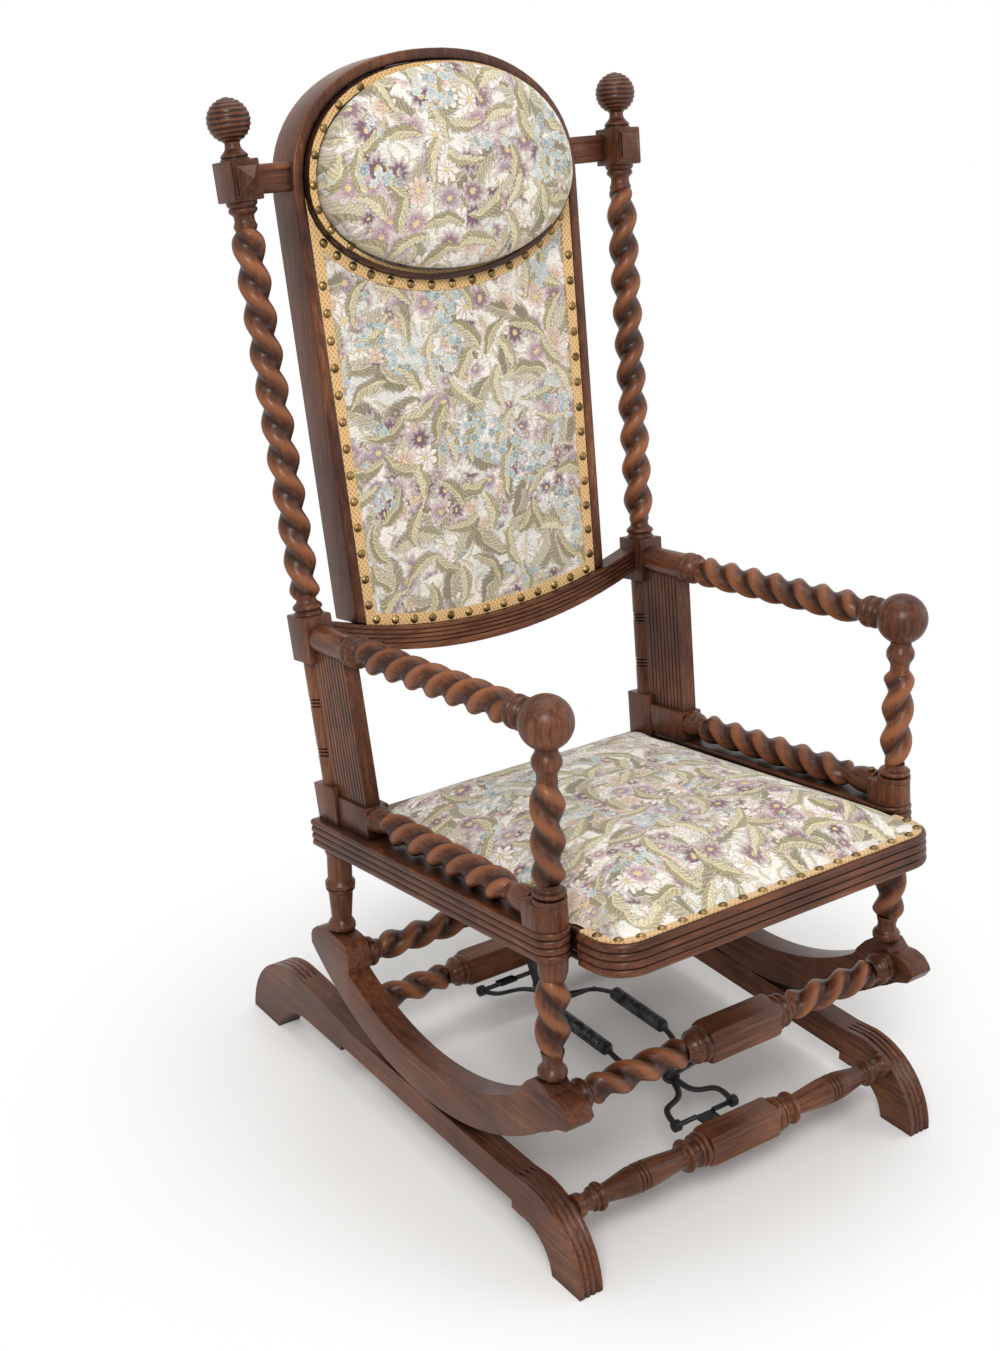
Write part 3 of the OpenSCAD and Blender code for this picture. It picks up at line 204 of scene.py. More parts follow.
def tapestryMaterial(name, plane):
    material, tree = newMaterial(name)
    soft = {"interpolation_type": "SMOOTHSTEP"}
    where = addNode(tree, "TexCoord", {}).outputs["Object"]
    flat = addNode(tree, "Mapping", {"Vector": where, "Rotation": plane})
    stray = addNode(tree, "TexNoise", {"Vector": flat, "Scale": 55.0, "Detail": 2.0}).outputs["Color"]
    reach = tapestry["wobble"] / 1000
    stray = addNode(tree, "VectorMath", {"operation": "MULTIPLY_ADD", 0: stray, 1: (reach,) * 3, 2: (-reach / 2,) * 3})
    cloth = addNode(tree, "VectorMath", {"operation": "ADD", 0: flat, 1: stray})

    # a motif's own coordinates, turned by chance, with 1 as the cell's size, and the chances of its colour
    def cellOf(cell, offset):
        density = 1000 / cell
        moved = addNode(tree, "VectorMath", {"operation": "ADD", 0: cloth, 1: offset})
        spots = addNode(tree, "TexVoronoi", {"voronoi_dimensions": "2D", "Vector": moved, "Scale": density, "Randomness": 0.8})
        away = addNode(tree, "VectorMath", {"operation": "SUBTRACT", 0: moved, 1: spots.outputs["Position"]})
        away = addNode(tree, "VectorMath", {"operation": "MULTIPLY", 0: away, 1: (density, density, 0)})
        chance = addNode(tree, "SeparateColor", {"Color": spots.outputs["Color"]}).outputs
        turn = addNode(tree, "Math", {"operation": "MULTIPLY", 0: chance[0], 1: math.tau})
        away = addNode(tree, "VectorRotate", {"rotation_type": "Z_AXIS", "Vector": away, "Angle": turn})
        return away, chance

    def leaf(colour, cell, offset, reach, width, shades, ribs):
        away, chance = cellOf(cell, offset)
        a, b, _ = addNode(tree, "SeparateXYZ", {"Vector": away}).outputs
        square = addNode(tree, "Math", {"operation": "MULTIPLY", 0: a, 1: a})
        bend = addNode(tree, "Math", {"operation": "MULTIPLY_ADD", 0: square, 1: -0.55, 2: 0.06})
        b = addNode(tree, "Math", {"operation": "ADD", 0: b, 1: bend})
        side = addNode(tree, "Math", {"operation": "ABSOLUTE", 0: b})
        taper = addNode(tree, "Math", {"operation": "MULTIPLY_ADD", 0: square, 1: -1 / reach ** 2, 2: 1.0})
        rib = addNode(tree, "Math", {"operation": "MULTIPLY_ADD", 0: side, 1: -1.1, 2: a})
        rib = addNode(tree, "Math", {"operation": "MULTIPLY", 0: rib, 1: ribs})
        rib = addNode(tree, "Math", {"operation": "SINE", 0: rib})
        edge = addNode(tree, "Math", {"operation": "MULTIPLY_ADD", 0: rib, 1: 0.13 * width, 2: width})
        edge = addNode(tree, "Math", {"operation": "MULTIPLY", 0: taper, 1: edge})
        inside = addNode(tree, "Math", {"operation": "SUBTRACT", 0: edge, 1: side})
        lit = addNode(tree, "MapRange", {**soft, "Value": b, "From Min": -0.05, "From Max": 0.05, "To Max": 0.42})
        lit = addNode(tree, "Math", {"operation": "MULTIPLY_ADD", 0: chance[1], 1: 0.4, 2: lit})
        lit = addNode(tree, "Math", {"operation": "MULTIPLY_ADD", 0: rib, 1: 0.2, 2: lit})
        tone = addNode(tree, "ValToRGB", {"Fac": lit, "stops": list(zip((0.1, 0.45, 0.85), shades))})
        vein = addNode(tree, "MapRange", {**soft, "Value": side, "From Min": 0.03, "From Max": 0.0})
        tone = addNode(tree, "Mix", {"data_type": "RGBA", 0: vein, 6: tone, 7: toLinear(shades[2])}).outputs[2]
        rim = addNode(tree, "MapRange", {**soft, "Value": inside, "From Min": -0.035, "From Max": 0.0, "To Max": 0.55})
        colour = addNode(tree, "Mix", {"data_type": "RGBA", 0: rim, 6: colour, 7: toLinear(tapestry["outline"])}).outputs[2]
        mask = addNode(tree, "MapRange", {**soft, "Value": inside, "From Min": 0.0, "From Max": 0.03})
        return addNode(tree, "Mix", {"data_type": "RGBA", 0: mask, 6: colour, 7: tone}).outputs[2]

    def flower(colour, cell, offset, reach, petals, palette, patch, strength=0.75):
        away, chance = cellOf(cell, offset)
        a, b, _ = addNode(tree, "SeparateXYZ", {"Vector": away}).outputs
        out = addNode(tree, "VectorMath", {"operation": "LENGTH", 0: away}).outputs["Value"]
        lobe = addNode(tree, "Math", {"operation": "ARCTAN2", 0: b, 1: a})
        lobe = addNode(tree, "Math", {"operation": "MULTIPLY", 0: lobe, 1: petals / 2})
        lobe = addNode(tree, "Math", {"operation": "COSINE", 0: lobe})
        lobe = addNode(tree, "Math", {"operation": "ABSOLUTE", 0: lobe})
        edge = addNode(tree, "Math", {"operation": "MULTIPLY_ADD", 0: lobe, 1: 0.42 * reach, 2: 0.62 * reach})
        inside = addNode(tree, "Math", {"operation": "SUBTRACT", 0: edge, 1: out})
        petal = addNode(tree, "ValToRGB", {"Fac": chance[2], "stops": [(i / len(palette), c) for i, c in enumerate(palette)]})
        petal.color_ramp.interpolation = "CONSTANT"
        fold = addNode(tree, "Math", {"operation": "SUBTRACT", 0: 1.0, 1: lobe})
        fold = addNode(tree, "Math", {"operation": "POWER", 0: fold, 1: 1.5})
        fold = addNode(tree, "Math", {"operation": "MULTIPLY", 0: fold, 1: strength})
        tone = addNode(tree, "Mix", {"data_type": "RGBA", 0: fold, 6: petal, 7: toLinear(tapestry["petalShade"])}).outputs[2]
        along = addNode(tree, "Math", {"operation": "DIVIDE", 0: out, 1: edge})
        tip = addNode(tree, "MapRange", {**soft, "Value": along, "From Min": 0.45, "From Max": 0.95, "To Max": 0.6})
        tone = addNode(tree, "Mix", {"data_type": "RGBA", 0: tip, 6: tone, 7: toLinear(tapestry["petalTip"])}).outputs[2]
        eye = addNode(tree, "MapRange", {**soft, "Value": along, "From Min": 0.3, "From Max": 0.16})
        tone = addNode(tree, "Mix", {"data_type": "RGBA", 0: eye, 6: tone, 7: toLinear(tapestry["eye"])}).outputs[2]
        rim = addNode(tree, "MapRange", {**soft, "Value": inside, "From Min": -0.04, "From Max": 0.0, "To Max": 0.5})
        rim = addNode(tree, "Math", {"operation": "MULTIPLY", 0: rim, 1: patch})
        colour = addNode(tree, "Mix", {"data_type": "RGBA", 0: rim, 6: colour, 7: toLinear(tapestry["outline"])}).outputs[2]
        mask = addNode(tree, "MapRange", {**soft, "Value": inside, "From Min": 0.0, "From Max": 0.03})
        mask = addNode(tree, "Math", {"operation": "MULTIPLY", 0: mask, 1: patch})
        return addNode(tree, "Mix", {"data_type": "RGBA", 0: mask, 6: colour, 7: tone}).outputs[2]

    # where a kind of flower grows
    def patches(scale, offset, low, high):
        moved = addNode(tree, "VectorMath", {"operation": "ADD", 0: flat, 1: offset})
        spread = addNode(tree, "TexNoise", {"Vector": moved, "Scale": scale, "Detail": 1.0})
        return addNode(tree, "MapRange", {**soft, "Value": spread, "From Min": low, "From Max": high})

    cool = patches(20.0, (0.3, 0.1, 0), 0.4, 0.6)
    warmGround, coolGround = toLinear(tapestry["ground"]), toLinear(tapestry["groundCool"])
    colour = addNode(tree, "Mix", {"data_type": "RGBA", 0: cool, 6: warmGround, 7: coolGround}).outputs[2]
    spray, leaves, fern = ([tapestry[kind + shade] for shade in ("Dark", "Mid", "Pale")] for kind in ("spray", "leaf", "fern"))
    buds, blooms, blues = (patches(11.0, (0.5, 0.4, 0), 0.5, 0.54), patches(11.0, (0.2, 0.9, 0), 0.5, 0.53),
                           patches(15.0, (0.7, 0.2, 0), 0.57, 0.6))
    colour = leaf(colour, tapestry["sprayCell"], (0.013, 0.041, 0), 0.7, 0.1, spray, 26.0)
    colour = leaf(colour, tapestry["leafCell"], (0, 0, 0), 0.8, 0.24, leaves, 62.0)
    colour = flower(colour, tapestry["budCell"], (0.31, 0.27, 0), 0.52, 7, tapestry["petals"], buds)
    colour = flower(colour, tapestry["flowerCell"], (0.21, 0.17, 0), 0.5, 9, tapestry["petals"], blooms)
    colour = leaf(colour, tapestry["fernCell"], (0.37, 0.23, 0), 0.74, 0.17, fern, 56.0)
    colour = flower(colour, tapestry["blueCell"], (0.11, 0.07, 0), 0.46, 5, tapestry["bluePetals"], blues, 0.25)
    # the weft lies in short level stitches
    weft = addNode(tree, "Mapping", {"Vector": flat, "Scale": (0.6, 1.5, 1.0)})
    weave = addNode(tree, "TexNoise", {"Vector": weft, "Scale": 750 / tapestry["thread"], "Detail": 1.0})
    shade = addNode(tree, "MapRange", {"Value": weave, "From Min": 0.3, "From Max": 0.7, "To Min": 0.72, "To Max": 1.12})
    shade = addNode(tree, "CombineColor", {0: shade, 1: shade, 2: shade})
    colour = addNode(tree, "Mix", {"data_type": "RGBA", "blend_type": "MULTIPLY", 0: 1.0, 6: colour, 7: shade}).outputs[2]
    grey = addNode(tree, "RGBToBW", {"Color": colour})
    grey = addNode(tree, "Math", {"operation": "MULTIPLY", 0: grey, 1: 0.5})
    height = addNode(tree, "Math", {"operation": "MULTIPLY_ADD", 0: weave, 1: 0.7, 2: grey})
    bump = addNode(tree, "Bump", {"Strength": 0.5, "Distance": tapestry["relief"] / 1000, "Height": height})
    shader = addNode(tree, "BsdfPrincipled", {"Base Color": colour, "Normal": bump, "Roughness": tapestry["roughness"],
                                              "Sheen Weight": tapestry["sheen"]})
    addNode(tree, "OutputMaterial", {"Surface": shader})
    return material


seatTurn = (math.radians(chairPlan["seatPitch"]), 0, 0)
backTurn = (math.radians(chairPlan["backLean"] - 90), 0, 0)
seatCloth = tapestryMaterial("jacquard_tapestry_seat", seatTurn)
backCloth = tapestryMaterial("jacquard_tapestry_back", backTurn)

# woven rayon gimp braid: golden, with twisted cords crossing over each other
braid = {"deep": "#B98E55", "mid": "#CDA063", "pale": "#E3C08A", "cord": 2.2, "lay": 38, "roughness": 0.66, "sheen": 0.3}


def braidMaterial(name, plane):
    material, tree = newMaterial(name)
    where = addNode(tree, "TexCoord", {}).outputs["Object"]
    flat = addNode(tree, "Mapping", {"Vector": where, "Rotation": plane})
    cords = []
    for angle in (braid["lay"], -braid["lay"]):
        laid = addNode(tree, "Mapping", {"Vector": flat, "Rotation": (0, 0, math.radians(angle))})
        wave = addNode(tree, "TexWave", {"Vector": laid, "Scale": 1000 / braid["cord"] / math.tau, "Distortion": 0.6})
        cords.append(wave.outputs["Fac"])
    fray = addNode(tree, "TexNoise", {"Vector": flat, "Scale": 900.0, "Detail": 1.0})
    fray = addNode(tree, "Math", {"operation": "MULTIPLY", 0: fray, 1: 0.3})
    upper = addNode(tree, "Math", {"operation": "MAXIMUM", 0: cords[0], 1: cords[1]})
    height = addNode(tree, "Math", {"operation": "MULTIPLY_ADD", 0: upper, 1: 0.75, 2: fray})
    # painted shade and highlight: the braid is coloured deep where its cords lie low and pale on their crowns
    colour = addNode(tree, "ValToRGB", {"Fac": height, "stops": [(0.3, braid["deep"]), (0.6, braid["mid"]), (0.95, braid["pale"])]})
    bump = addNode(tree, "Bump", {"Strength": 0.8, "Distance": 0.001, "Height": height})
    shader = addNode(tree, "BsdfPrincipled", {"Base Color": colour, "Normal": bump, "Roughness": braid["roughness"],
                                              "Sheen Weight": braid["sheen"]})
    addNode(tree, "OutputMaterial", {"Surface": shader})
    return material


seatBraid = braidMaterial("rayon_gimp_seat", seatTurn)
backBraid = braidMaterial("rayon_gimp_back", backTurn)

# the metals; grit is the size of a spot in mm
metals = {
    "aged_brass_nails": {"dark": "#54432A", "light": "#9C8256", "metallic": 1.0, "roughness": 0.4, "grit": 3.0},
    "cast_iron_japanned": {"dark": "#141416", "light": "#2C2C2F", "metallic": 0.35, "roughness": 0.48, "grit": 4.0},
    "spring_steel_blackened": {"dark": "#232326", "light": "#58585C", "metallic": 0.8, "roughness": 0.36, "grit": 2.5},
}


def metalMaterial(name):
    metal = metals[name]
    material, tree = newMaterial(name)
    where = addNode(tree, "TexCoord", {}).outputs["Object"]
    spots = addNode(tree, "TexNoise", {"Vector": where, "Scale": 250 / metal["grit"], "Detail": 5.0, "Roughness": 0.6})
    colour = addNode(tree, "ValToRGB", {"Fac": spots, "stops": [(0.36, metal["dark"]), (0.64, metal["light"])]})
    low, high = metal["roughness"] - 0.1, metal["roughness"] + 0.1      # smoother where it is light
    rough = addNode(tree, "MapRange", {"Value": spots, "From Min": 0.3, "From Max": 0.7, "To Min": high, "To Max": low})
    bump = addNode(tree, "Bump", {"Strength": 0.3, "Distance": 0.0004, "Height": spots})
    shader = addNode(tree, "BsdfPrincipled", {"Base Color": colour, "Roughness": rough, "Normal": bump,
                                              "Metallic": metal["metallic"]})
    addNode(tree, "OutputMaterial", {"Surface": shader})
    return material


agedBrass = metalMaterial("aged_brass_nails")          # domed heads, browned where fingers don't reach
japanned = metalMaterial("cast_iron_japanned")         # black baked varnish, dull with dust
oiledSteel = metalMaterial("spring_steel_blackened")   # wound wire, a faint shine along each turn

# jute webbing under the seat: brown bands woven over and under each other
webbing = {"dark": "#7D6A4C", "light": "#A08A66", "gap": "#5A4A33", "band": 55.6, "roughness": 0.92}


def webbingMaterial():
    material, tree = newMaterial("jute_webbing")
    where = addNode(tree, "TexCoord", {}).outputs["Object"]
    bands = addNode(tree, "TexChecker", {"Vector": where, "Scale": 1000 / webbing["band"],
                                         "Color1": toLinear(webbing["dark"]), "Color2": toLinear(webbing["light"])})
    threads = addNode(tree, "TexNoise", {"Vector": where, "Scale": 500.0, "Detail": 2.0})
    gaps = addNode(tree, "Math", {"operation": "MULTIPLY", 0: threads, 1: 0.6})
    colour = addNode(tree, "Mix", {"data_type": "RGBA", 0: gaps, 6: bands, 7: toLinear(webbing["gap"])}).outputs[2]
    bump = addNode(tree, "Bump", {"Strength": 0.6, "Distance": 0.001, "Height": threads})
    shader = addNode(tree, "BsdfPrincipled", {"Base Color": colour, "Normal": bump, "Roughness": webbing["roughness"]})
    addNode(tree, "OutputMaterial", {"Surface": shader})
    return material


jute = webbingMaterial()
print("materials made")


# helpers for pieces, drawn in millimetres
def newBench():
    bench = bmesh.new()
    for layer in ("groove", "ridge"):
        bench.verts.layers.float.new(layer)
    return bench


def benchFrom(node, plane=Matrix.Identity(4)):
    bench = bmesh.new()
    bench.from_mesh(nodes[node].data)
    bmesh.ops.transform(bench, matrix=plane.inverted() @ Matrix.Scale(1000, 4), verts=bench.verts)
    return bench


def mergeFlats(bench):
    bmesh.ops.remove_doubles(bench, verts=bench.verts, dist=0.01)
    bmesh.ops.dissolve_limit(bench, angle_limit=math.radians(1), verts=bench.verts, edges=bench.edges)


def edgesOf(corners):
    return list({edge for corner in corners for edge in corner.link_edges})


def ease(bench, edges, width, segments=2, clamp=False):
    bmesh.ops.bevel(bench, geom=edges, offset=width, offset_type="OFFSET", affect="EDGES", segments=segments, profile=0.5,
                    material=-1, clamp_overlap=clamp)


def capEnds(bench):
    bmesh.ops.holes_fill(bench, edges=[edge for edge in bench.edges if edge.is_boundary], sides=0)


# cuts the corners of a turner's outline until it is a curve
def soften(profile, rounds):
    for _ in range(rounds):
        cut = [profile[0]]
        for a, b in zip(profile, profile[1:]):
            cut += [[0.75 * a[0] + 0.25 * b[0], 0.75 * a[1] + 0.25 * b[1]], [0.25 * a[0] + 0.75 * b[0], 0.25 * a[1] + 0.75 * b[1]]]
        profile = cut + [profile[-1]]
    return profile


# an outline is pairs of how far out, in radii, and how far along, in units from the start
def turnPart(bench, profile, radius, unit, start=0.0, steps=36, rounds=2):
    profile = soften(profile, rounds)
    profile = [[0, profile[0][1]]] + profile + [[0, profile[-1][1]]]
    chain = [bench.verts.new((out * radius, 0, start + along * unit)) for out, along in profile]
    edges = [bench.edges.new(pair) for pair in zip(chain, chain[1:])]
    bmesh.ops.spin(bench, geom=chain + edges, axis=(0, 0, 1), angle=math.tau, steps=steps, use_merge=True)


# two round strands with a cove between them
twist = {"cove": 0.36, "roundness": 0.85, "sides": 32, "steps": 28, "runOut": 0.75, "endShare": 0.6}


def twistPart(bench, radius, start, length, hand=1):
    groove, ridge = bench.verts.layers.float["groove"], bench.verts.layers.float["ridge"]
    before = set(bench.verts)
    ring = bmesh.ops.create_circle(bench, segments=twist["sides"], radius=radius)["verts"]
    for corner in ring:
        swell = (0.5 + 0.5 * math.cos(2 * math.atan2(corner.co.y, corner.co.x))) ** twist["roundness"]     # 1 on a ridge
        corner.co = corner.co.normalized() * radius * (1 - twist["cove"] + twist["cove"] * swell)
        corner.co.z = start
        # the groove mask gets painted shade in the walnut, the ridge mask its partly painted highlight
        corner[groove] = max(0.0, 0.42 - swell) / 0.42
        corner[ridge] = max(0.0, swell - 0.62) / 0.38
    turns = length / chairPlan["twistRise"] / 2
    steps = max(8, int(turns * twist["steps"]))
    bmesh.ops.spin(bench, geom=ring + edgesOf(ring), axis=(0, 0, 1), dvec=(0, 0, length / steps), angle=-hand * math.tau * turns,
                   steps=steps)
    for corner in bench.verts:
        near = min(corner.co.z - start, start + length - corner.co.z) / (radius * twist["runOut"])
        if corner not in before and near < 1:
            share = twist["endShare"] + (1 - twist["endShare"]) * math.sin(max(near, 0) * math.pi / 2)
            corner.co.x *= share
            corner.co.y *= share
    capEnds(bench)


def boxPart(bench, size, centre):
    return bmesh.ops.create_cube(bench, size=1, matrix=moveBy(*centre) @ Matrix.Diagonal((*size, 1)))["verts"]


def blockPart(bench, width, depth, low, high):
    ease(bench, edgesOf(boxPart(bench, (width, depth, high - low), (0, 0, (low + high) / 2))), 1.4, 2, True)


# a square block along Z with its long edges cut off and its ends rounded to the turning
def chamferedBlock(bench, side, half, corner, rim):
    made = boxPart(bench, (side, side, 2 * half), (0, 0, 0))
    ease(bench, [e for e in edgesOf(made) if abs(e.verts[0].co.z - e.verts[1].co.z) > 1], corner, 1)
    ends = [f for f in bench.faces if len(f.verts) == 8 and f.calc_area() > 900]
    ends = [f for f in ends if abs(abs(f.calc_center_median().z) - half) < 0.1]
    ease(bench, list({e for f in ends for e in f.edges}), rim)


def finishPiece(bench, name, place, material, body, replaced=(), sharp=38):
    bmesh.ops.remove_doubles(bench, verts=bench.verts, dist=0.01)
    bmesh.ops.transform(bench, matrix=Matrix.Scale(0.001, 4) @ place, verts=bench.verts)
    bmesh.ops.recalc_face_normals(bench, faces=bench.faces)
    mesh = bpy.data.meshes.new(name)
    bench.to_mesh(mesh)
    bench.free()
    mesh.shade_smooth()
    mesh.set_sharp_from_angle(angle=math.radians(sharp))
    mesh.materials.append(material)
    piece = bpy.data.objects.new(name, mesh)
    bpy.context.scene.collection.objects.link(piece)
    if replaced:
        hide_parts(*replaced)
    if isinstance(body, str):
        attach(piece, body)
    else:
        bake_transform(piece, body[0], body[1], start=body[2], end=body[3])


def bothSides(build, name, place, material, node):
    for side in ("left", "right"):
        bench = newBench()
        build(bench)
        where = place if side == "left" else mirrorX @ place
        finishPiece(bench, name + "_" + side, where, material, "chair", (node + "_" + side,))


# a twist between two turned ends: its start and length, like their outlines, are shares of the whole length
def buildSpindle(bench, plan, length):
    start, run = plan["twist"]
    turnPart(bench, plan["lower"], plan["radius"], length)
    twistPart(bench, plan["twistRadius"], start * length, run * length)
    turnPart(bench, plan["upper"], plan["radius"], length)


# arm posts, from the post block up to the ball
armPost = {
    "foot": (-240.5, -274.6, 429.38), "ball": (-240.5, -268.6, 619.0), "intoBall": 25.2, "radius": 18.5, "twistRadius": 17.945,
    "lower": [[0.99, 0], [0.99, 0.028], [0.97, 0.032], [0.76, 0.036], [0.76, 0.042], [0.92, 0.046], [0.96, 0.06], [0.92, 0.074],
              [0.7, 0.08], [0.6, 0.09], [0.6, 0.12]],
    "twist": (0.105, 0.685),
    "upper": [[0.6, 0.77], [0.55, 0.83], [0.68, 0.86], [0.84, 0.89], [0.84, 0.93], [0.62, 0.97], [0.62, 1]],
}


def buildArmPost(bench):
    buildSpindle(bench, armPost, math.dist(armPost["ball"], armPost["foot"]) - armPost["intoBall"])


bothSides(buildArmPost, "twistArmPost", placed @ fromTo(armPost["foot"], armPost["ball"]), woods["Z"], "arm_post")

# arms: plain turned rear end, twist, small collar at the ball
arm = {
    "rear": (-241.6, 159.75, 572.8), "ball": (-240.5, -268.6, 619.0), "intoBall": 26.3, "radius": 18.5, "twistRadius": 18.5,
    "lower": [[0.88, -0.02], [0.88, 0.165], [1.03, 0.175], [1.03, 0.19], [0.9, 0.195], [1, 0.2], [1, 0.215], [0.62, 0.23],
              [0.62, 0.25]],
    "twist": (0.235, 0.685),
    "upper": [[0.62, 0.91], [0.6, 0.925], [0.97, 0.94], [0.97, 0.955], [0.8, 0.96], [0.95, 0.967], [0.95, 0.98], [0.6, 0.99],
              [0.6, 1]],
}


def buildArm(bench):
    buildSpindle(bench, arm, math.dist(arm["ball"], arm["rear"]) - arm["intoBall"])


bothSides(buildArm, "twistArm", placed @ fromTo(arm["rear"], arm["ball"]), woods["Y"], "arm")

# lower side rails, on the seat's slope
lowerRail = {
    "rear": (-233, 336.2, 22), "front": (-240.5, 20.8, 16.5), "radius": 17.945, "twistRadius": 17.945,
    "lower": [[0.9, 0], [0.9, 0.02], [0.75, 0.03], [0.82, 0.04], [0.62, 0.06], [0.62, 0.09]],
    "twist": (0.07, 0.79),
    "upper": [[0.6, 0.84], [0.56, 0.87], [0.74, 0.895], [0.86, 0.93], [0.86, 1]],
}


def buildLowerRail(bench):
    buildSpindle(bench, lowerRail, math.dist(lowerRail["rear"], lowerRail["front"]))


lowerPlace = seatPlane @ fromTo(lowerRail["rear"], lowerRail["front"])
bothSides(buildLowerRail, "twistLowerRail", lowerPlace, woods["Y"], "lower_side_rail")

# back posts: plinth, ringed spindle, arm block, long twist and top block
backPost = {
    "radius": 18.5, "width": 35.5, "depth": 42.5, "armBlock": 54.0, "topBlock": 43.0, "topUp": 508.0,
    "plinthTop": -176.0, "plinthFoot": -236.0,
    "spindle": 0.8, "ringSets": (0.27, 0.67),
    "rings": [[0.8, -0.045], [0.8, -0.034], [0.62, -0.028], [0.8, -0.022], [0.8, -0.006], [0.62, 0], [0.8, 0.006], [0.8, 0.022],
              [0.62, 0.028], [0.8, 0.034], [0.8, 0.045]],
    "overBlock": [[0.9, -0.05], [0.9, 0.12], [0.75, 0.25], [0.95, 0.4], [0.88, 0.6], [0.6, 0.8], [0.6, 1.3]],
    "underTop": [[0.6, -1.7], [0.74, -1.42], [0.62, -1.2], [0.6, -1], [0.6, -0.8], [0.86, -0.6], [0.86, -0.4], [0.75, -0.35],
                 [0.92, -0.2], [0.92, 0.05]],
}


def buildBackPost(bench):
    plan, r = backPost, backPost["radius"]
    arms = plan["armBlock"] / 2
    top = plan["topUp"] - plan["topBlock"] / 2
    drop = plan["plinthTop"] + arms
    spindle = [[plan["spindle"], 1 / drop]] + [[out, middle + up] for middle in plan["ringSets"] for out, up in plan["rings"]]
    blockPart(bench, plan["width"], plan["depth"] + 2, plan["plinthFoot"], plan["plinthTop"])
    turnPart(bench, spindle + [[plan["spindle"], 1 - 1 / drop]], r, -drop, plan["plinthTop"])
    blockPart(bench, plan["width"], plan["depth"], -arms, arms)
    turnPart(bench, plan["overBlock"], r, r, arms)
    twistPart(bench, r, arms + 0.9 * r, top - arms - 2.3 * r)
    turnPart(bench, plan["underTop"], r, r, top)
    blockPart(bench, plan["width"], plan["depth"], top, top + plan["topBlock"])


bothSides(buildBackPost, "twistBackPost", postPlane, woods["Z"], "back_post")

# finials: a ball cut with fine rings, on a flared foot
finial = {
    "foot": 529.5, "centre": 570.6, "radius": 24.3, "ribs": 11, "depth": 0.058, "lowest": -69, "highest": 83,
    "stem": [[0.66, 0], [0.66, 0.07], [0.56, 0.1], [0.64, 0.15], [0.6, 0.24], [0.46, 0.38], [0.35, 0.52], [0.34, 0.791]],
}


def buildFinial(bench):
    r, centre = finial["radius"], finial["centre"]
    turnPart(bench, finial["stem"], r, r, finial["foot"])
    ball = [[0.34, -0.94]]
    for i in range(2 * finial["ribs"] + 1):
        angle = math.radians(finial["lowest"] + i * (finial["highest"] - finial["lowest"]) / 2 / finial["ribs"])
        share = 1 - finial["depth"] * (i % 2)
        ball.append([share * math.cos(angle), share * math.sin(angle)])
    turnPart(bench, ball + [[0.02, 1]], r, r, centre, 40, 1)
    # through the groove and ridge masks, the cuts get painted shade and the ribs the partly painted highlight
    groove, ridge = bench.verts.layers.float["groove"], bench.verts.layers.float["ridge"]
    for corner in bench.verts:
        out = math.hypot(corner.co.x, corner.co.y, corner.co.z - centre) / r
        inset = (1 - out) / finial["depth"]     # 0 on a rib, near 1 in a cut
        if -0.2 < inset < 1.2:
            corner[groove] = min(1.0, max(0.0, inset - 0.35) / 0.3)
            corner[ridge] = max(0.0, 0.5 - inset)


bothSides(buildFinial, "ribbedFinial", postPlane, woods["X"], "finial")

# front legs under the seat, twist-turned
frontLeg = {
    "y": -281.0, "foot": 229.0, "height": 139.5, "radius": 18.5, "twistRadius": 18.5,
    "lower": [[0.76, 0], [0.86, 0.02], [0.86, 0.06], [0.72, 0.08], [0.6, 0.1], [0.55, 0.14], [0.68, 0.2], [0.68, 0.22]],
    "twist": (0.19, 0.68),
    "upper": [[0.68, 0.82], [0.8, 0.86], [0.86, 0.9], [0.86, 1.04]],
}


def buildFrontLeg(bench):
    buildSpindle(bench, frontLeg, frontLeg["height"])


legPlace = placed @ moveBy(-chairPlan["armX"], frontLeg["y"], frontLeg["foot"]) @ turned(90, "Z")
bothSides(buildFrontLeg, "twistFrontLeg", legPlace, woods["Z"], "front_leg")

# stretchers between the rockers and at the rear of the base: two mirrored halves with a block between
stretchers = {
    "base_stretcher_rear": {"at": (0, 170, 70), "side": 38.0, "hand": 1, "body": "platform"},
    "rocker_stretcher_front": {"at": (0, -295, 203), "side": 40.0, "hand": 1, "body": "chair"},
    "rocker_stretcher_rear": {"at": (0, 125, 174), "side": 40.0, "hand": -1, "body": "chair"},
}
stretcherTurning = {
    "half": 228.5, "radius": 17.5, "block": 52.0, "corner": 0.13, "rim": 0.16,
    "inner": [[0.3, -1], [1.16, -0.1], [1.16, 0.2], [0.95, 0.3], [1.1, 0.45], [1.1, 0.7], [0.9, 0.85], [0.7, 1.2], [0.7, 1.45]],
    "outer": [[0.7, -1.5], [0.75, -1.2], [1.05, -0.95], [1.05, -0.65], [0.9, -0.5], [0.98, -0.35], [0.98, 0]],
}
for node, plan in stretchers.items():
    bench = newBench()
    r, block, half = (stretcherTurning[key] for key in ("radius", "block", "half"))
    for flip in (1, -1):
        part = newBench()
        turnPart(part, stretcherTurning["inner"], r, r, block)
        twistPart(part, r, block + 1.25 * r, half - block - 2.6 * r, plan["hand"])
        turnPart(part, stretcherTurning["outer"], r, r, half)
        bmesh.ops.transform(part, matrix=Matrix.Scale(flip, 4, (0, 0, 1)), verts=part.verts)
        mesh = bpy.data.meshes.new("half")
        part.to_mesh(mesh)
        part.free()
        bench.from_mesh(mesh)
        bpy.data.meshes.remove(mesh)
    chamferedBlock(bench, plan["side"], block, plan["side"] * stretcherTurning["corner"], plan["side"] * stretcherTurning["rim"])
    finishPiece(bench, "twist_" + node, placed @ moveBy(*plan["at"]) @ turned(90, "Y"), woods["X"], plan["body"], (node,))
print("twist-turned pieces made")

# reeded mouldings: half-round reeds down a vertical face, from the top edge to the foot
reed = {"count": 4, "facets": 6}


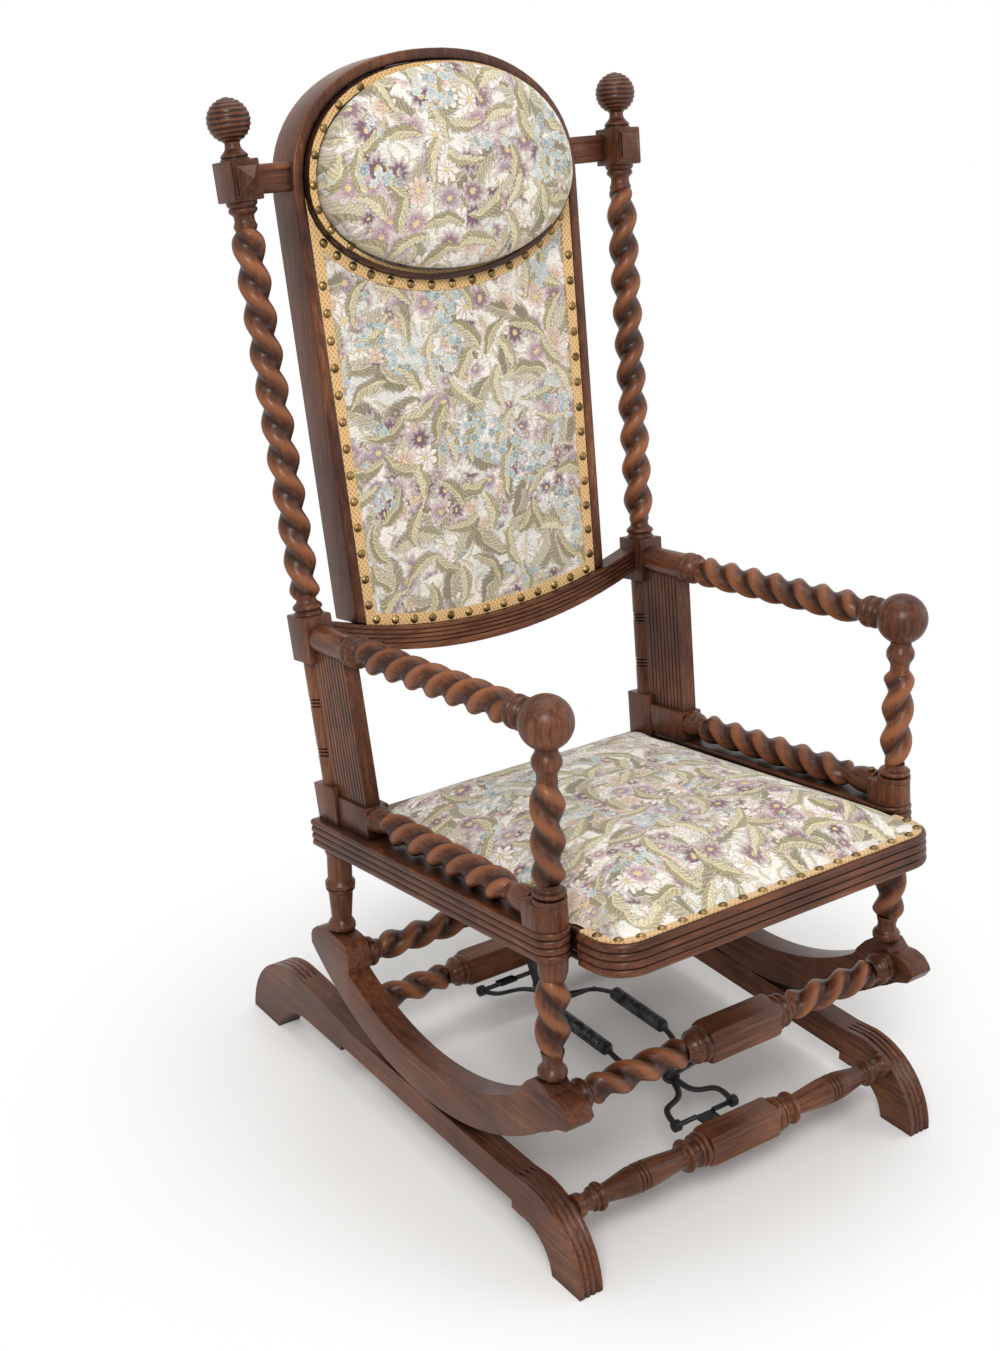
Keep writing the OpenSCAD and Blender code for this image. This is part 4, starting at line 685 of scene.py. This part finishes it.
def reedChain(top, foot, bulge, across):
    height = (top - foot) / reed["count"]
    points = []
    for number in range(reed["count"]):
        middle = top - height * (number + 0.5)
        for k in range(reed["facets"] + 1):
            angle = math.pi / 2 - math.pi * k / reed["facets"]
            points.append((across - bulge + bulge * math.cos(angle), middle + height / 2 * math.sin(angle)))
    return points


def sweepBy(bench, edges, vec):
    moved = bmesh.ops.extrude_edge_only(bench, edges=edges)["geom"]
    bmesh.ops.translate(bench, vec=vec, verts=[g for g in moved if isinstance(g, bmesh.types.BMVert)])
    return [g for g in moved if isinstance(g, bmesh.types.BMEdge)]


def turnCorner(bench, edges, centre, angle, steps):
    geom = list({v for e in edges for v in e.verts}) + edges
    last = bmesh.ops.spin(bench, geom=geom, cent=centre, axis=(0, 0, 1), angle=angle, steps=steps)["geom_last"]
    return [g for g in last if isinstance(g, bmesh.types.BMEdge)]


# side rails: round in front, reeded along both sides
sideRail = {"halfWidth": 21.0, "height": 33.0, "length": 449.0, "bulge": 2.6, "flat": 1.5}


def buildSideRail(bench):
    half, foot, bulge = sideRail["halfWidth"], -sideRail["height"], sideRail["bulge"]
    shoulder = half - bulge - sideRail["flat"]
    chain = [(0, 0), (shoulder, 0)] + reedChain(0, foot, bulge, half) + [(shoulder, foot), (0, foot)]
    corners = [bench.verts.new((-out, 0, z)) for out, z in chain]
    edges = [bench.edges.new(pair) for pair in zip(corners, corners[1:])]
    for group in (edges, turnCorner(bench, edges, (0, 0, 0), math.pi, 28)):
        sweepBy(bench, group, (0, sideRail["length"], 0))
    bmesh.ops.remove_doubles(bench, verts=bench.verts, dist=0.01)
    capEnds(bench)


bothSides(buildSideRail, "reededSideRail", seatPlane @ moveBy(-chairPlan["armX"], 0, 0), woods["Y"], "side_rail")

# seat frame: the reeded moulding runs along the sides and round the front corners, with plain battens inside it
seatFrame = {
    "half": 219.5, "frontHalf": 226.0, "reach": 87.0, "corner": 40.0, "top": -6.0, "height": 35.0, "rear": 438.0,
    "jogAt": -23.0, "jog": 1.2, "deep": 38.0, "opening": 58.0, "bulge": 2.8, "flat": 4.5, "frontBatten": 24.0,
}


def buildSeatFrame(bench):
    half, frontHalf, reach, corner = (seatFrame[key] for key in ("half", "frontHalf", "reach", "corner"))
    top, height, rear, jogAt, jog = (seatFrame[key] for key in ("top", "height", "rear", "jogAt", "jog"))
    deep, opening, bulge, flat = (seatFrame[key] for key in ("deep", "opening", "bulge", "flat"))
    foot, frontBatten = top - height, seatFrame["frontBatten"]
    chain = [(-deep, top), (-flat, top)] + reedChain(top, foot, bulge, 0) + [(-flat, foot), (-deep, foot)]
    corners = [bench.verts.new((-half - out, rear, z)) for out, z in chain]
    edges = [bench.edges.new(pair) for pair in zip(corners, corners[1:] + corners[:1])]
    straight = reach - corner + jogAt - jog
    edges = sweepBy(bench, edges, (0, jogAt - rear, 0))
    edges = sweepBy(bench, edges, (half - frontHalf, -jog, 0))
    edges = sweepBy(bench, edges, (0, -straight, 0))
    edges = turnCorner(bench, edges, (corner - frontHalf, corner - reach, 0), math.pi / 2, 14)
    edges = sweepBy(bench, edges, (2 * (frontHalf - corner), 0, 0))
    edges = turnCorner(bench, edges, (frontHalf - corner, corner - reach, 0), math.pi / 2, 14)
    edges = sweepBy(bench, edges, (0, straight, 0))
    edges = sweepBy(bench, edges, (half - frontHalf, jog, 0))
    edges = sweepBy(bench, edges, (0, rear - jogAt, 0))
    bmesh.ops.remove_doubles(bench, verts=bench.verts, dist=0.01)
    capEnds(bench)
    middle, beside, width, length = (rear - reach) / 2, half - (opening + deep - 1) / 2, opening - deep + 1, rear + reach - 60
    battens = (((width, length), (-beside, middle)), ((width, length), (beside, middle)),
               ((2 * (half - deep) + 1, opening), (0, rear - opening / 2)),
               ((2 * (half - deep), frontBatten), (0, deep - reach + frontBatten / 2 - 0.5)))
    for size, centre in battens:
        boxPart(bench, (*size, height - 1), (*centre, top - height / 2))


bench = newBench()
buildSeatFrame(bench)
finishPiece(bench, "reededSeatFrame", seatPlane, woods["X"], "chair", ("seat_frame",))
print("reeded seat frame and side rails made")

# sawn pieces keep the frame's shape, with their edges eased by sandpaper
eased = {
    "base_rail_left": ("Y", 2.0, "platform"), "base_rail_right": ("Y", 2.0, "platform"),
    "rocker_left": ("Y", 2.2, "chair"), "rocker_right": ("Y", 2.2, "chair"),
    "panel_block_left": ("Z", 1.4, "chair"), "panel_block_right": ("Z", 1.4, "chair"),
    "post_block_left": ("Z", 1.2, "chair"), "post_block_right": ("Z", 1.2, "chair"),
    "back_frame": ("Z", 2.4, "chair"),
}
for node, (axis, width, body) in eased.items():
    bench = benchFrom(node)
    mergeFlats(bench)
    sharp = [e for e in bench.edges if len(e.link_faces) == 2 and e.calc_face_angle(0) > math.radians(42)]
    ease(bench, sharp, width, 3, True)
    finishPiece(bench, "eased_" + node, Matrix.Identity(4), woods[axis], body, (node,))
print("sawn pieces eased")

# front stretcher of the base, turned as a double vase with a chamfered block
baseStretcher = {
    "at": (0, -303, 73), "half": 228.5, "block": 52.0, "side": 38.0, "corner": 5.0, "rim": 6.0,
    "vase": [[0.035, 0.2], [0.07, 0.215], [0.088, 0.232], [0.088, 0.25], [0.07, 0.256], [0.082, 0.264], [0.082, 0.276],
             [0.062, 0.284], [0.056, 0.305], [0.062, 0.322], [0.084, 0.33], [0.084, 0.345], [0.064, 0.352], [0.054, 0.362],
             [0.054, 0.39], [0.06, 0.45], [0.067, 0.52], [0.071, 0.575], [0.071, 0.588], [0.061, 0.594], [0.071, 0.6],
             [0.072, 0.612], [0.061, 0.618], [0.072, 0.624], [0.072, 0.636], [0.061, 0.642], [0.072, 0.648], [0.066, 0.7],
             [0.052, 0.78], [0.046, 0.825], [0.05, 0.84], [0.068, 0.848], [0.072, 0.862], [0.066, 0.874], [0.052, 0.88],
             [0.06, 0.888], [0.06, 0.9], [0.046, 0.91], [0.044, 0.95], [0.06, 0.962], [0.06, 1]],
}
bench = newBench()
for flip in (1, -1):
    turnPart(bench, baseStretcher["vase"], baseStretcher["half"], flip * baseStretcher["half"], 0.0, 40)
chamferedBlock(bench, baseStretcher["side"], baseStretcher["block"], baseStretcher["corner"], baseStretcher["rim"])
stretcherPlace = placed @ moveBy(*baseStretcher["at"]) @ turned(90, "Y")
finishPiece(bench, "vaseBaseStretcher", stretcherPlace, woods["X"], "platform", ("base_stretcher_front",))

# coil springs, each drawn as two halves so that an end can follow its lever
spring = {"x": 42.0, "start": -119.4, "end": -30.6, "z": 100.0, "radius": 7.0, "wire": 3.4, "coils": 22, "stepsPerCoil": 20}
middle = (spring["start"] + spring["end"]) / 2
for side, x in (("left", -spring["x"]), ("right", spring["x"])):
    for half, (a, b) in (("front", (spring["start"], middle)), ("rear", (middle, spring["end"]))):
        bench = newBench()
        place = moveBy(spring["radius"], 0, 0) @ turned(90, "X")
        ring = bmesh.ops.create_circle(bench, segments=8, radius=spring["wire"] / 2, matrix=place)["verts"]
        turns = spring["coils"] / 2
        steps = int(turns * spring["stepsPerCoil"])
        bmesh.ops.spin(bench, geom=ring + edgesOf(ring), axis=(0, 0, 1), dvec=(0, 0, (b - a) / steps), angle=math.tau * turns,
                       steps=steps)
        capEnds(bench)
        ends = [tuple(placed @ Vector((x, y, spring["z"])) / 1000) for y in (a, b)]
        bodies, replaced = ("platform", "lever_rear", *ends), ()
        if half == "front":
            bodies, replaced = ("lever_front", "platform", *ends), ("spring_" + side,)
        place = placed @ moveBy(x, a, spring["z"]) @ turned(-90, "X")
        finishPiece(bench, "coilSpring_" + side + "_" + half, place, oiledSteel, bodies, replaced, 60)
print("springs made")

# cast levers: two wishbones back to back, ending in lugs on the hinge rod and hooked eyes for the springs
lever = {
    "half": 42.0, "bar": 8.0, "thick": 0.72, "eyeHeight": 100.0, "waist": 0.48,
    # how far out, in half widths, how far along, and how thick the bar is there
    "pinArm": [(1, 0.1, 1), (0.93, 0.2, 0.95), (0.5, 0.22, 0.85), (0.16, 0.27, 0.95), (0.08, 0.38, 1.1), (0, 0.48, 1.15)],
    "eyeArm": [(0, 0.48, 1.15), (0.08, 0.56, 1.1), (0.2, 0.68, 0.95), (0.6, 0.73, 0.85), (0.97, 0.78, 0.95), (1, 0.9, 1),
               (1, 1, 0.9)],
    "tie": [(-1, 0.765, 0.7), (0, 0.762, 0.62), (1, 0.765, 0.7)],
}
leverEnds = {"lever_front": ((-248.0, 66.0), -121.0), "lever_rear": ((140.0, 49.0), -29.0)}     # pin's y and z, eye's y


def barAlong(bench, points, plane):
    path = bpy.data.curves.new("bar", "CURVE")
    path.dimensions = "3D"
    path.bevel_depth = lever["bar"] / 2
    path.bevel_resolution = 3
    path.use_fill_caps = True
    spline = path.splines.new("NURBS")
    spline.points.add(len(points) - 1)
    spline.use_endpoint_u = True
    spline.order_u = 4
    spline.resolution_u = 8
    for point, (u, v, radius) in zip(spline.points, points):
        point.co = (u, v, 0, 1)
        point.radius = radius
    holder = bpy.data.objects.new("bar", path)
    mesh = bpy.data.meshes.new_from_object(holder)
    part = bmesh.new()
    part.from_mesh(mesh)
    bmesh.ops.transform(part, matrix=plane @ Matrix.Diagonal((1, 1, lever["thick"], 1)), verts=part.verts)
    part.to_mesh(mesh)
    part.free()
    bench.from_mesh(mesh)
    bpy.data.meshes.remove(mesh)
    bpy.data.objects.remove(holder)
    bpy.data.curves.remove(path)


def lug(bench, radius, depth, place):
    made = bmesh.ops.create_cone(bench, cap_ends=True, segments=28, radius1=radius, radius2=radius, depth=depth,
                                 matrix=place)["verts"]
    ease(bench, [e for e in edgesOf(made) if e.calc_face_angle(0) > 1], 0.8)


for node, ((pinY, pinZ), eyeY) in leverEnds.items():
    half, bar = lever["half"], lever["bar"]
    toward = 1 if eyeY > pinY else -1
    rise, run = lever["eyeHeight"] - pinZ, abs(eyeY - pinY)
    reach, tilt = math.hypot(run, rise), math.degrees(math.atan2(rise, run))
    plane = moveBy(0, pinY, pinZ) @ Matrix.Scale(toward, 4, (0, 1, 0)) @ turned(tilt, "X")
    bench = newBench()
    for side in (1, -1):
        pinArm = [(side * half, -1, 1)] + [(side * half * out, reach * along, thick) for out, along, thick in lever["pinArm"]]
        barAlong(bench, pinArm, plane)
        barAlong(bench, [(side * half * out, reach * along, thick) for out, along, thick in lever["eyeArm"]], plane)
        lug(bench, bar * 0.85, bar * 1.1, moveBy(side * half, pinY, pinZ) @ turned(90, "Y"))
        lug(bench, bar * 0.7, bar * 1.1, plane @ moveBy(side * half, reach, 0) @ turned(90, "Y"))
        lug(bench, bar * 1.05, bar * 0.9, moveBy(side * half, eyeY + toward * bar * 0.45, lever["eyeHeight"]) @ turned(90, "X"))
    barAlong(bench, [(half * out, reach * along, thick) for out, along, thick in lever["tie"]], plane)
    lug(bench, bar * 1.3, bar * 0.8, plane @ moveBy(0, lever["waist"] * reach, 0))
    finishPiece(bench, "wishbone_" + node, placed, japanned, node, (node,), 40)
print("levers made")

# hinge rods: the plate that holds each rod to its block is flat iron, lower than its solid
hingeRod = {"radius": 3.0, "heights": {"hinge_rod_front": 66.0, "hinge_rod_rear": 49.0}}
for node, height in hingeRod["heights"].items():
    bench = benchFrom(node)
    mergeFlats(bench)
    for v in bench.verts:
        if v.co.z > height + 1.05 * hingeRod["radius"]:
            v.co.z = height - 0.3 * hingeRod["radius"]
    finishPiece(bench, "stapled_" + node, Matrix.Identity(4), japanned, "platform", (node,))

# link straps: flat iron bars with rounded eyes, each drawn as an upper and a lower half that bend as the chair rocks
straps = {
    "link_strap_front": {"low": (0, -191.84, 86.9), "high": (0, -283, 181), "lever": "lever_front"},
    "link_strap_rear": {"low": (0, 63.68, 78.1), "high": (0, 113, 152), "lever": "lever_rear"},
}
strapBar = {"width": 20.0, "thick": 4.0, "eye": 9.0, "eyeShare": 1.12, "edge": 0.9, "bends": 8}
for node, plan in straps.items():
    low, high = Vector(plan["low"]), Vector(plan["high"])
    centre = (low + high) / 2
    for half, a, b in (("lower", centre, low), ("upper", centre, high)):
        bench = newBench()
        length = (b - a).length
        eye = length - strapBar["eye"]
        boxPart(bench, (strapBar["width"], strapBar["thick"], length), (0, 0, length / 2))
        everything = bench.verts[:] + bench.edges[:] + bench.faces[:]
        bmesh.ops.bisect_plane(bench, geom=everything, plane_co=(0, 0, eye), plane_no=(0, 0, 1))
        for corner in bench.verts:
            if abs(corner.co.z - eye) < 0.1:
                corner.co.x *= strapBar["eyeShare"]
        ease(bench, bench.edges[:], strapBar["edge"], 2, True)
        longEdges = [e for e in bench.edges if abs(e.verts[0].co.z - e.verts[1].co.z) > 15]
        bmesh.ops.subdivide_edges(bench, edges=longEdges, cuts=strapBar["bends"], use_grid_fill=True)
        ends = [tuple(placed @ v / 1000) for v in (a, b)]
        bodies, replaced = ("chair", "platform", ends[1], ends[0]), ()
        if half == "lower":
            bodies, replaced = ("platform", plan["lever"], *ends), (node,)
        finishPiece(bench, "linkStrap_" + plan["lever"] + "_" + half, placed @ fromTo(a, b), japanned, bodies, replaced)
print("straps made")

# looks of the pieces that keep the frame's own shape
looks = {
    woods["Z"]: ("side_panel_left", "side_panel_right", "arm_ball_left", "arm_ball_right", "rear_leg_left", "rear_leg_right",
                 "pyramid_boss_left", "pyramid_boss_right"),
    woods["X"]: ("cross_bar_left", "cross_bar_right", "lower_back_rail"),
    ebonised: ("headrest_rim",),
    seatBraid: ("seat_gimp",),
    backBraid: ("back_gimp",),
    agedBrass: ("seat_nails", "back_nails", "rail_screws"),
    jute: ("seat_webbing",),
}
for material, names in looks.items():
    for name in names:
        nodes[name].data.materials.clear()
        nodes[name].data.materials.append(material)
print("frame's own pieces dressed")

# the headrest's braid is backed up to the front of its rim, and its nails go with it
raised = {"by": 8.2, "spread": 0.023, "shoulder": 488.0, "from": 85.0, "full": 65.0, "heads": 1.22, "headReach": 10.0}


# the nails' corners, one list for each head
def headsOf(bench):
    heads = []
    for v in bench.verts:
        near = [corners for corners in heads if (corners[0].co - v.co).length < raised["headReach"]]
        if near:
            near[0].append(v)
        else:
            heads.append([v])
    return heads


for node, material, slot in (("headrest_gimp", backBraid, "gimp"), ("headrest_nails", agedBrass, "brass")):
    bench = benchFrom(node, backPlane)
    rear = max(v.co.y for v in bench.verts)
    for v in bench.verts:
        above = v.co.z - raised["shoulder"]
        lift = max(0.0, min(1.0, (above + raised["from"]) / (raised["from"] - raised["full"])))
        v.co.x *= 1 + raised["spread"] * lift
        v.co.z += raised["spread"] * max(0.0, above)
        if node == "headrest_nails" or v.co.y < rear - 1:
            v.co.y -= raised["by"] * lift
    if node == "headrest_nails":
        for corners in headsOf(bench):
            centre = sum((v.co for v in corners), Vector()) / len(corners)
            grow = moveBy(*centre) @ Matrix.Scale(raised["heads"], 4) @ moveBy(*-centre)
            bmesh.ops.transform(bench, matrix=grow, verts=corners)
    finishPiece(bench, "raised_" + node, backPlane, material, "chair", (node,))
print("headrest's braid and nails raised")

# upholstery: each pad starts from its solid, is remeshed and rounded, then blown up a little as cloth with its tacked edge held
pads = {
    "seat_pad": {"voxel": 6.0, "rounds": 14, "swell": 5.0, "held": 2.5, "fill": 0.85, "cover": seatCloth},
    "back_pad": {"voxel": 5.0, "rounds": 6, "swell": 3.0, "held": 21.5, "fill": 0.9, "cover": backCloth},
    "headrest_cushion": {"voxel": 5.0, "rounds": 12, "swell": 5.0, "held": 12.0, "fill": 0.9, "cover": backCloth},
}
clothing = {"steps": 20, "quality": 4, "mass": 0.3, "stretch": 25, "bend": 4, "pressure": 4}

# the seat slopes down to its braid and runs a little under it; the headrest stands clear of its nails and is fuller in front
padFit = {
    "tuck": 5.0, "frontReach": 120.0, "slope": 78.0, "lip": 1.2, "crown": 40.0, "bend": 1.7,
    "headWide": 0.968, "headFoot": 1.03, "headStart": 23.0, "headDeep": 1.12,
}


def fitPad(bench, node, plane):
    bmesh.ops.transform(bench, matrix=plane.inverted(), verts=bench.verts)
    low = [min(v.co[k] for v in bench.verts) for k in range(3)]
    high = [max(v.co[k] for v in bench.verts) for k in range(3)]
    if node == "seat_pad":
        tuck = padFit["tuck"]
        for v in bench.verts:
            v.co.x *= 1 + tuck / high[0]
            v.co.y -= tuck * max(0.0, 1 - (v.co.y - low[1]) / padFit["frontReach"])
            edge = min(high[0] + tuck - abs(v.co.x), v.co.y - low[1] + tuck)
            share = min(1.0, max(0.0, edge - tuck) / padFit["slope"])
            v.co.z = min(v.co.z, low[2] + padFit["lip"] + padFit["crown"] * (1 - (1 - share) ** padFit["bend"]))
    elif node == "headrest_cushion":
        for v in bench.verts:
            depth = min(1.0, (high[1] - v.co.y) / padFit["headStart"])
            v.co.x *= padFit["headFoot"] + (padFit["headWide"] - padFit["headFoot"]) * depth
            v.co.y = high[1] + (v.co.y - high[1]) * padFit["headDeep"]
    bmesh.ops.transform(bench, matrix=plane, verts=bench.verts)


# blows a pad up as cloth, held where it is tacked, and lets no point go further than the cap
def swellPad(pad, tacked, cap):
    group = pad.vertex_groups.new(name="tacked")
    group.add(tacked, 1.0, "REPLACE")
    before = [v.co.copy() for v in pad.data.vertices]
    cloth = pad.modifiers.new("cloth", "CLOTH")
    cloth.settings.quality = clothing["quality"]
    cloth.settings.mass = clothing["mass"]
    cloth.settings.tension_stiffness = clothing["stretch"]
    cloth.settings.bending_stiffness = clothing["bend"]
    cloth.settings.vertex_group_mass = "tacked"
    cloth.settings.use_pressure = True
    cloth.settings.uniform_pressure_force = clothing["pressure"]
    cloth.settings.effector_weights.gravity = 0
    cloth.collision_settings.use_collision = False
    for number in range(1, clothing["steps"] + 1):
        bpy.context.scene.frame_set(number)
    bpy.ops.object.modifier_apply(modifier="cloth")
    bpy.context.scene.frame_set(1)
    for v, start in zip(pad.data.vertices, before):
        moved = v.co - start
        if moved.length > cap:
            v.co = start + moved * (cap / moved.length)


for node, plan in pads.items():
    plane, out = (seatPlane, (0, 0, 1)) if node == "seat_pad" else (backPlane, (0, -1, 0))
    out = plane.to_3x3() @ Vector(out)
    bench = bmesh.new()
    bench.from_mesh(nodes[node].data)
    bmesh.ops.remove_doubles(bench, verts=bench.verts, dist=0.00001)
    mesh = bpy.data.meshes.new("padded_" + node)
    bench.to_mesh(mesh)
    bench.free()
    pad = bpy.data.objects.new("padded_" + node, mesh)
    bpy.context.scene.collection.objects.link(pad)
    bpy.context.view_layer.objects.active = pad
    remesh = pad.modifiers.new("remesh", "REMESH")
    remesh.mode = "VOXEL"
    remesh.voxel_size = plan["voxel"] / 1000
    bpy.ops.object.modifier_apply(modifier="remesh")
    bench = bmesh.new()
    bench.from_mesh(pad.data)
    fitPad(bench, node, Matrix.Scale(0.001, 4) @ plane)
    edge = min(v.co.dot(out) for v in bench.verts) + plan["held"] / 1000
    free = [v for v in bench.verts if v.co.dot(out) > edge]
    for _ in range(plan["rounds"]):
        bmesh.ops.smooth_vert(bench, verts=free, factor=0.5, use_axis_x=True, use_axis_y=True, use_axis_z=True)
    bench.to_mesh(pad.data)
    bench.free()
    swellPad(pad, [v.index for v in pad.data.vertices if v.co.dot(out) <= edge], plan["swell"] / 1000)
    smooth = pad.modifiers.new("smooth", "SUBSURF")
    smooth.levels = smooth.render_levels = 1
    pad.data.shade_smooth()
    pad.data.materials.append(plan["cover"])
    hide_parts(node)
    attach(pad, "chair")
print("upholstery made")

# floor and world: pale paper that fades to white away from the chair, and white wherever the camera or a reflection looks
studio = {"floor": "#F7F6F4", "roughness": 0.9, "fadeFrom": 0.32, "fadeTo": 0.72, "world": 0.42}


# 1 for what the camera sees itself or through a reflection
def seenRays(tree):
    paths = addNode(tree, "LightPath", {}).outputs
    seen = addNode(tree, "Math", {"operation": "MAXIMUM", 0: paths["Is Glossy Ray"], 1: paths["Is Transmission Ray"]})
    return addNode(tree, "Math", {"operation": "MAXIMUM", 0: paths["Is Camera Ray"], 1: seen})


bpy.ops.mesh.primitive_plane_add(size=60, location=(0, 0, -0.0005))
floor = bpy.context.object
floor.name = "studioFloor"
material, tree = newMaterial("paper_floor")
paper = addNode(tree, "BsdfPrincipled", {"Base Color": toLinear(studio["floor"]), "Roughness": studio["roughness"],
                                         "Specular IOR Level": 0.1})
where = addNode(tree, "TexCoord", {}).outputs["Object"]
away = addNode(tree, "VectorMath", {"operation": "LENGTH", 0: where}).outputs["Value"]
fade = addNode(tree, "MapRange", {"interpolation_type": "SMOOTHSTEP", "Value": away, "From Min": studio["fadeFrom"],
                                  "From Max": studio["fadeTo"]})
fade = addNode(tree, "Math", {"operation": "MULTIPLY", 0: fade, 1: seenRays(tree)})
glow = addNode(tree, "Emission", {"Color": (1, 1, 1, 1), "Strength": 1.0})
addNode(tree, "OutputMaterial", {"Surface": addNode(tree, "MixShader", {0: fade, 1: paper, 2: glow})})
floor.data.materials.append(material)

world = bpy.data.worlds.new("studioWorld")
bpy.context.scene.world = world
world.use_nodes = True
tree = world.node_tree
tree.nodes.clear()
soft = addNode(tree, "Background", {"Color": (1, 1, 1, 1), "Strength": studio["world"]})
white = addNode(tree, "Background", {"Color": (1, 1, 1, 1), "Strength": 1.0})
addNode(tree, "OutputWorld", {"Surface": addNode(tree, "MixShader", {0: seenRays(tree), 1: soft, 2: white})})

# soft boxes, in watts and metres, all turned to the middle of the chair
lamps = {
    "keyLight": {"power": 82.0, "size": 1.3, "at": (-1.9, -2.2, 2.7)},
    "fillLight": {"power": 24.0, "size": 2.6, "at": (2.6, -1.6, 1.6)},
    "topLight": {"power": 36.0, "size": 2.4, "at": (0.2, 0.4, 3.4)},
}
for name, plan in lamps.items():
    lamp = bpy.data.lights.new(name, "AREA")
    lamp.energy = plan["power"]
    lamp.size = plan["size"]
    holder = bpy.data.objects.new(name, lamp)
    holder.location = plan["at"]
    holder.rotation_euler = (Vector((0, 0, 0.55)) - Vector(plan["at"])).to_track_quat("-Z", "Y").to_euler()
    bpy.context.scene.collection.objects.link(holder)

# the photo's view: metres, degrees and millimetres of lens
lens = {"at": (-1.2128, -1.5843, 1.3289), "azimuth": -34.832, "elevation": 21.965, "roll": -0.482, "focal": 50.013}
azimuth, elevation, roll = (math.radians(lens[key]) for key in ("azimuth", "elevation", "roll"))
back = Vector((math.sin(azimuth) * math.cos(elevation), -math.cos(azimuth) * math.cos(elevation), math.sin(elevation)))
levelRight = Vector((math.cos(azimuth), math.sin(azimuth), 0))
levelUp = back.cross(levelRight)
right = math.cos(roll) * levelRight + math.sin(roll) * levelUp
up = math.cos(roll) * levelUp - math.sin(roll) * levelRight
cameraData = bpy.data.cameras.new("photoCamera")
cameraData.sensor_width = 36
cameraData.lens = lens["focal"]
camera = bpy.data.objects.new("photoCamera", cameraData)
camera.matrix_world = Matrix((right, up, back)).transposed().to_4x4()
camera.location = lens["at"]
bpy.context.scene.collection.objects.link(camera)
bpy.context.scene.camera = camera
bpy.context.scene.view_settings.view_transform = "Standard"
print("studio made")

bpy.context.view_layer.update()
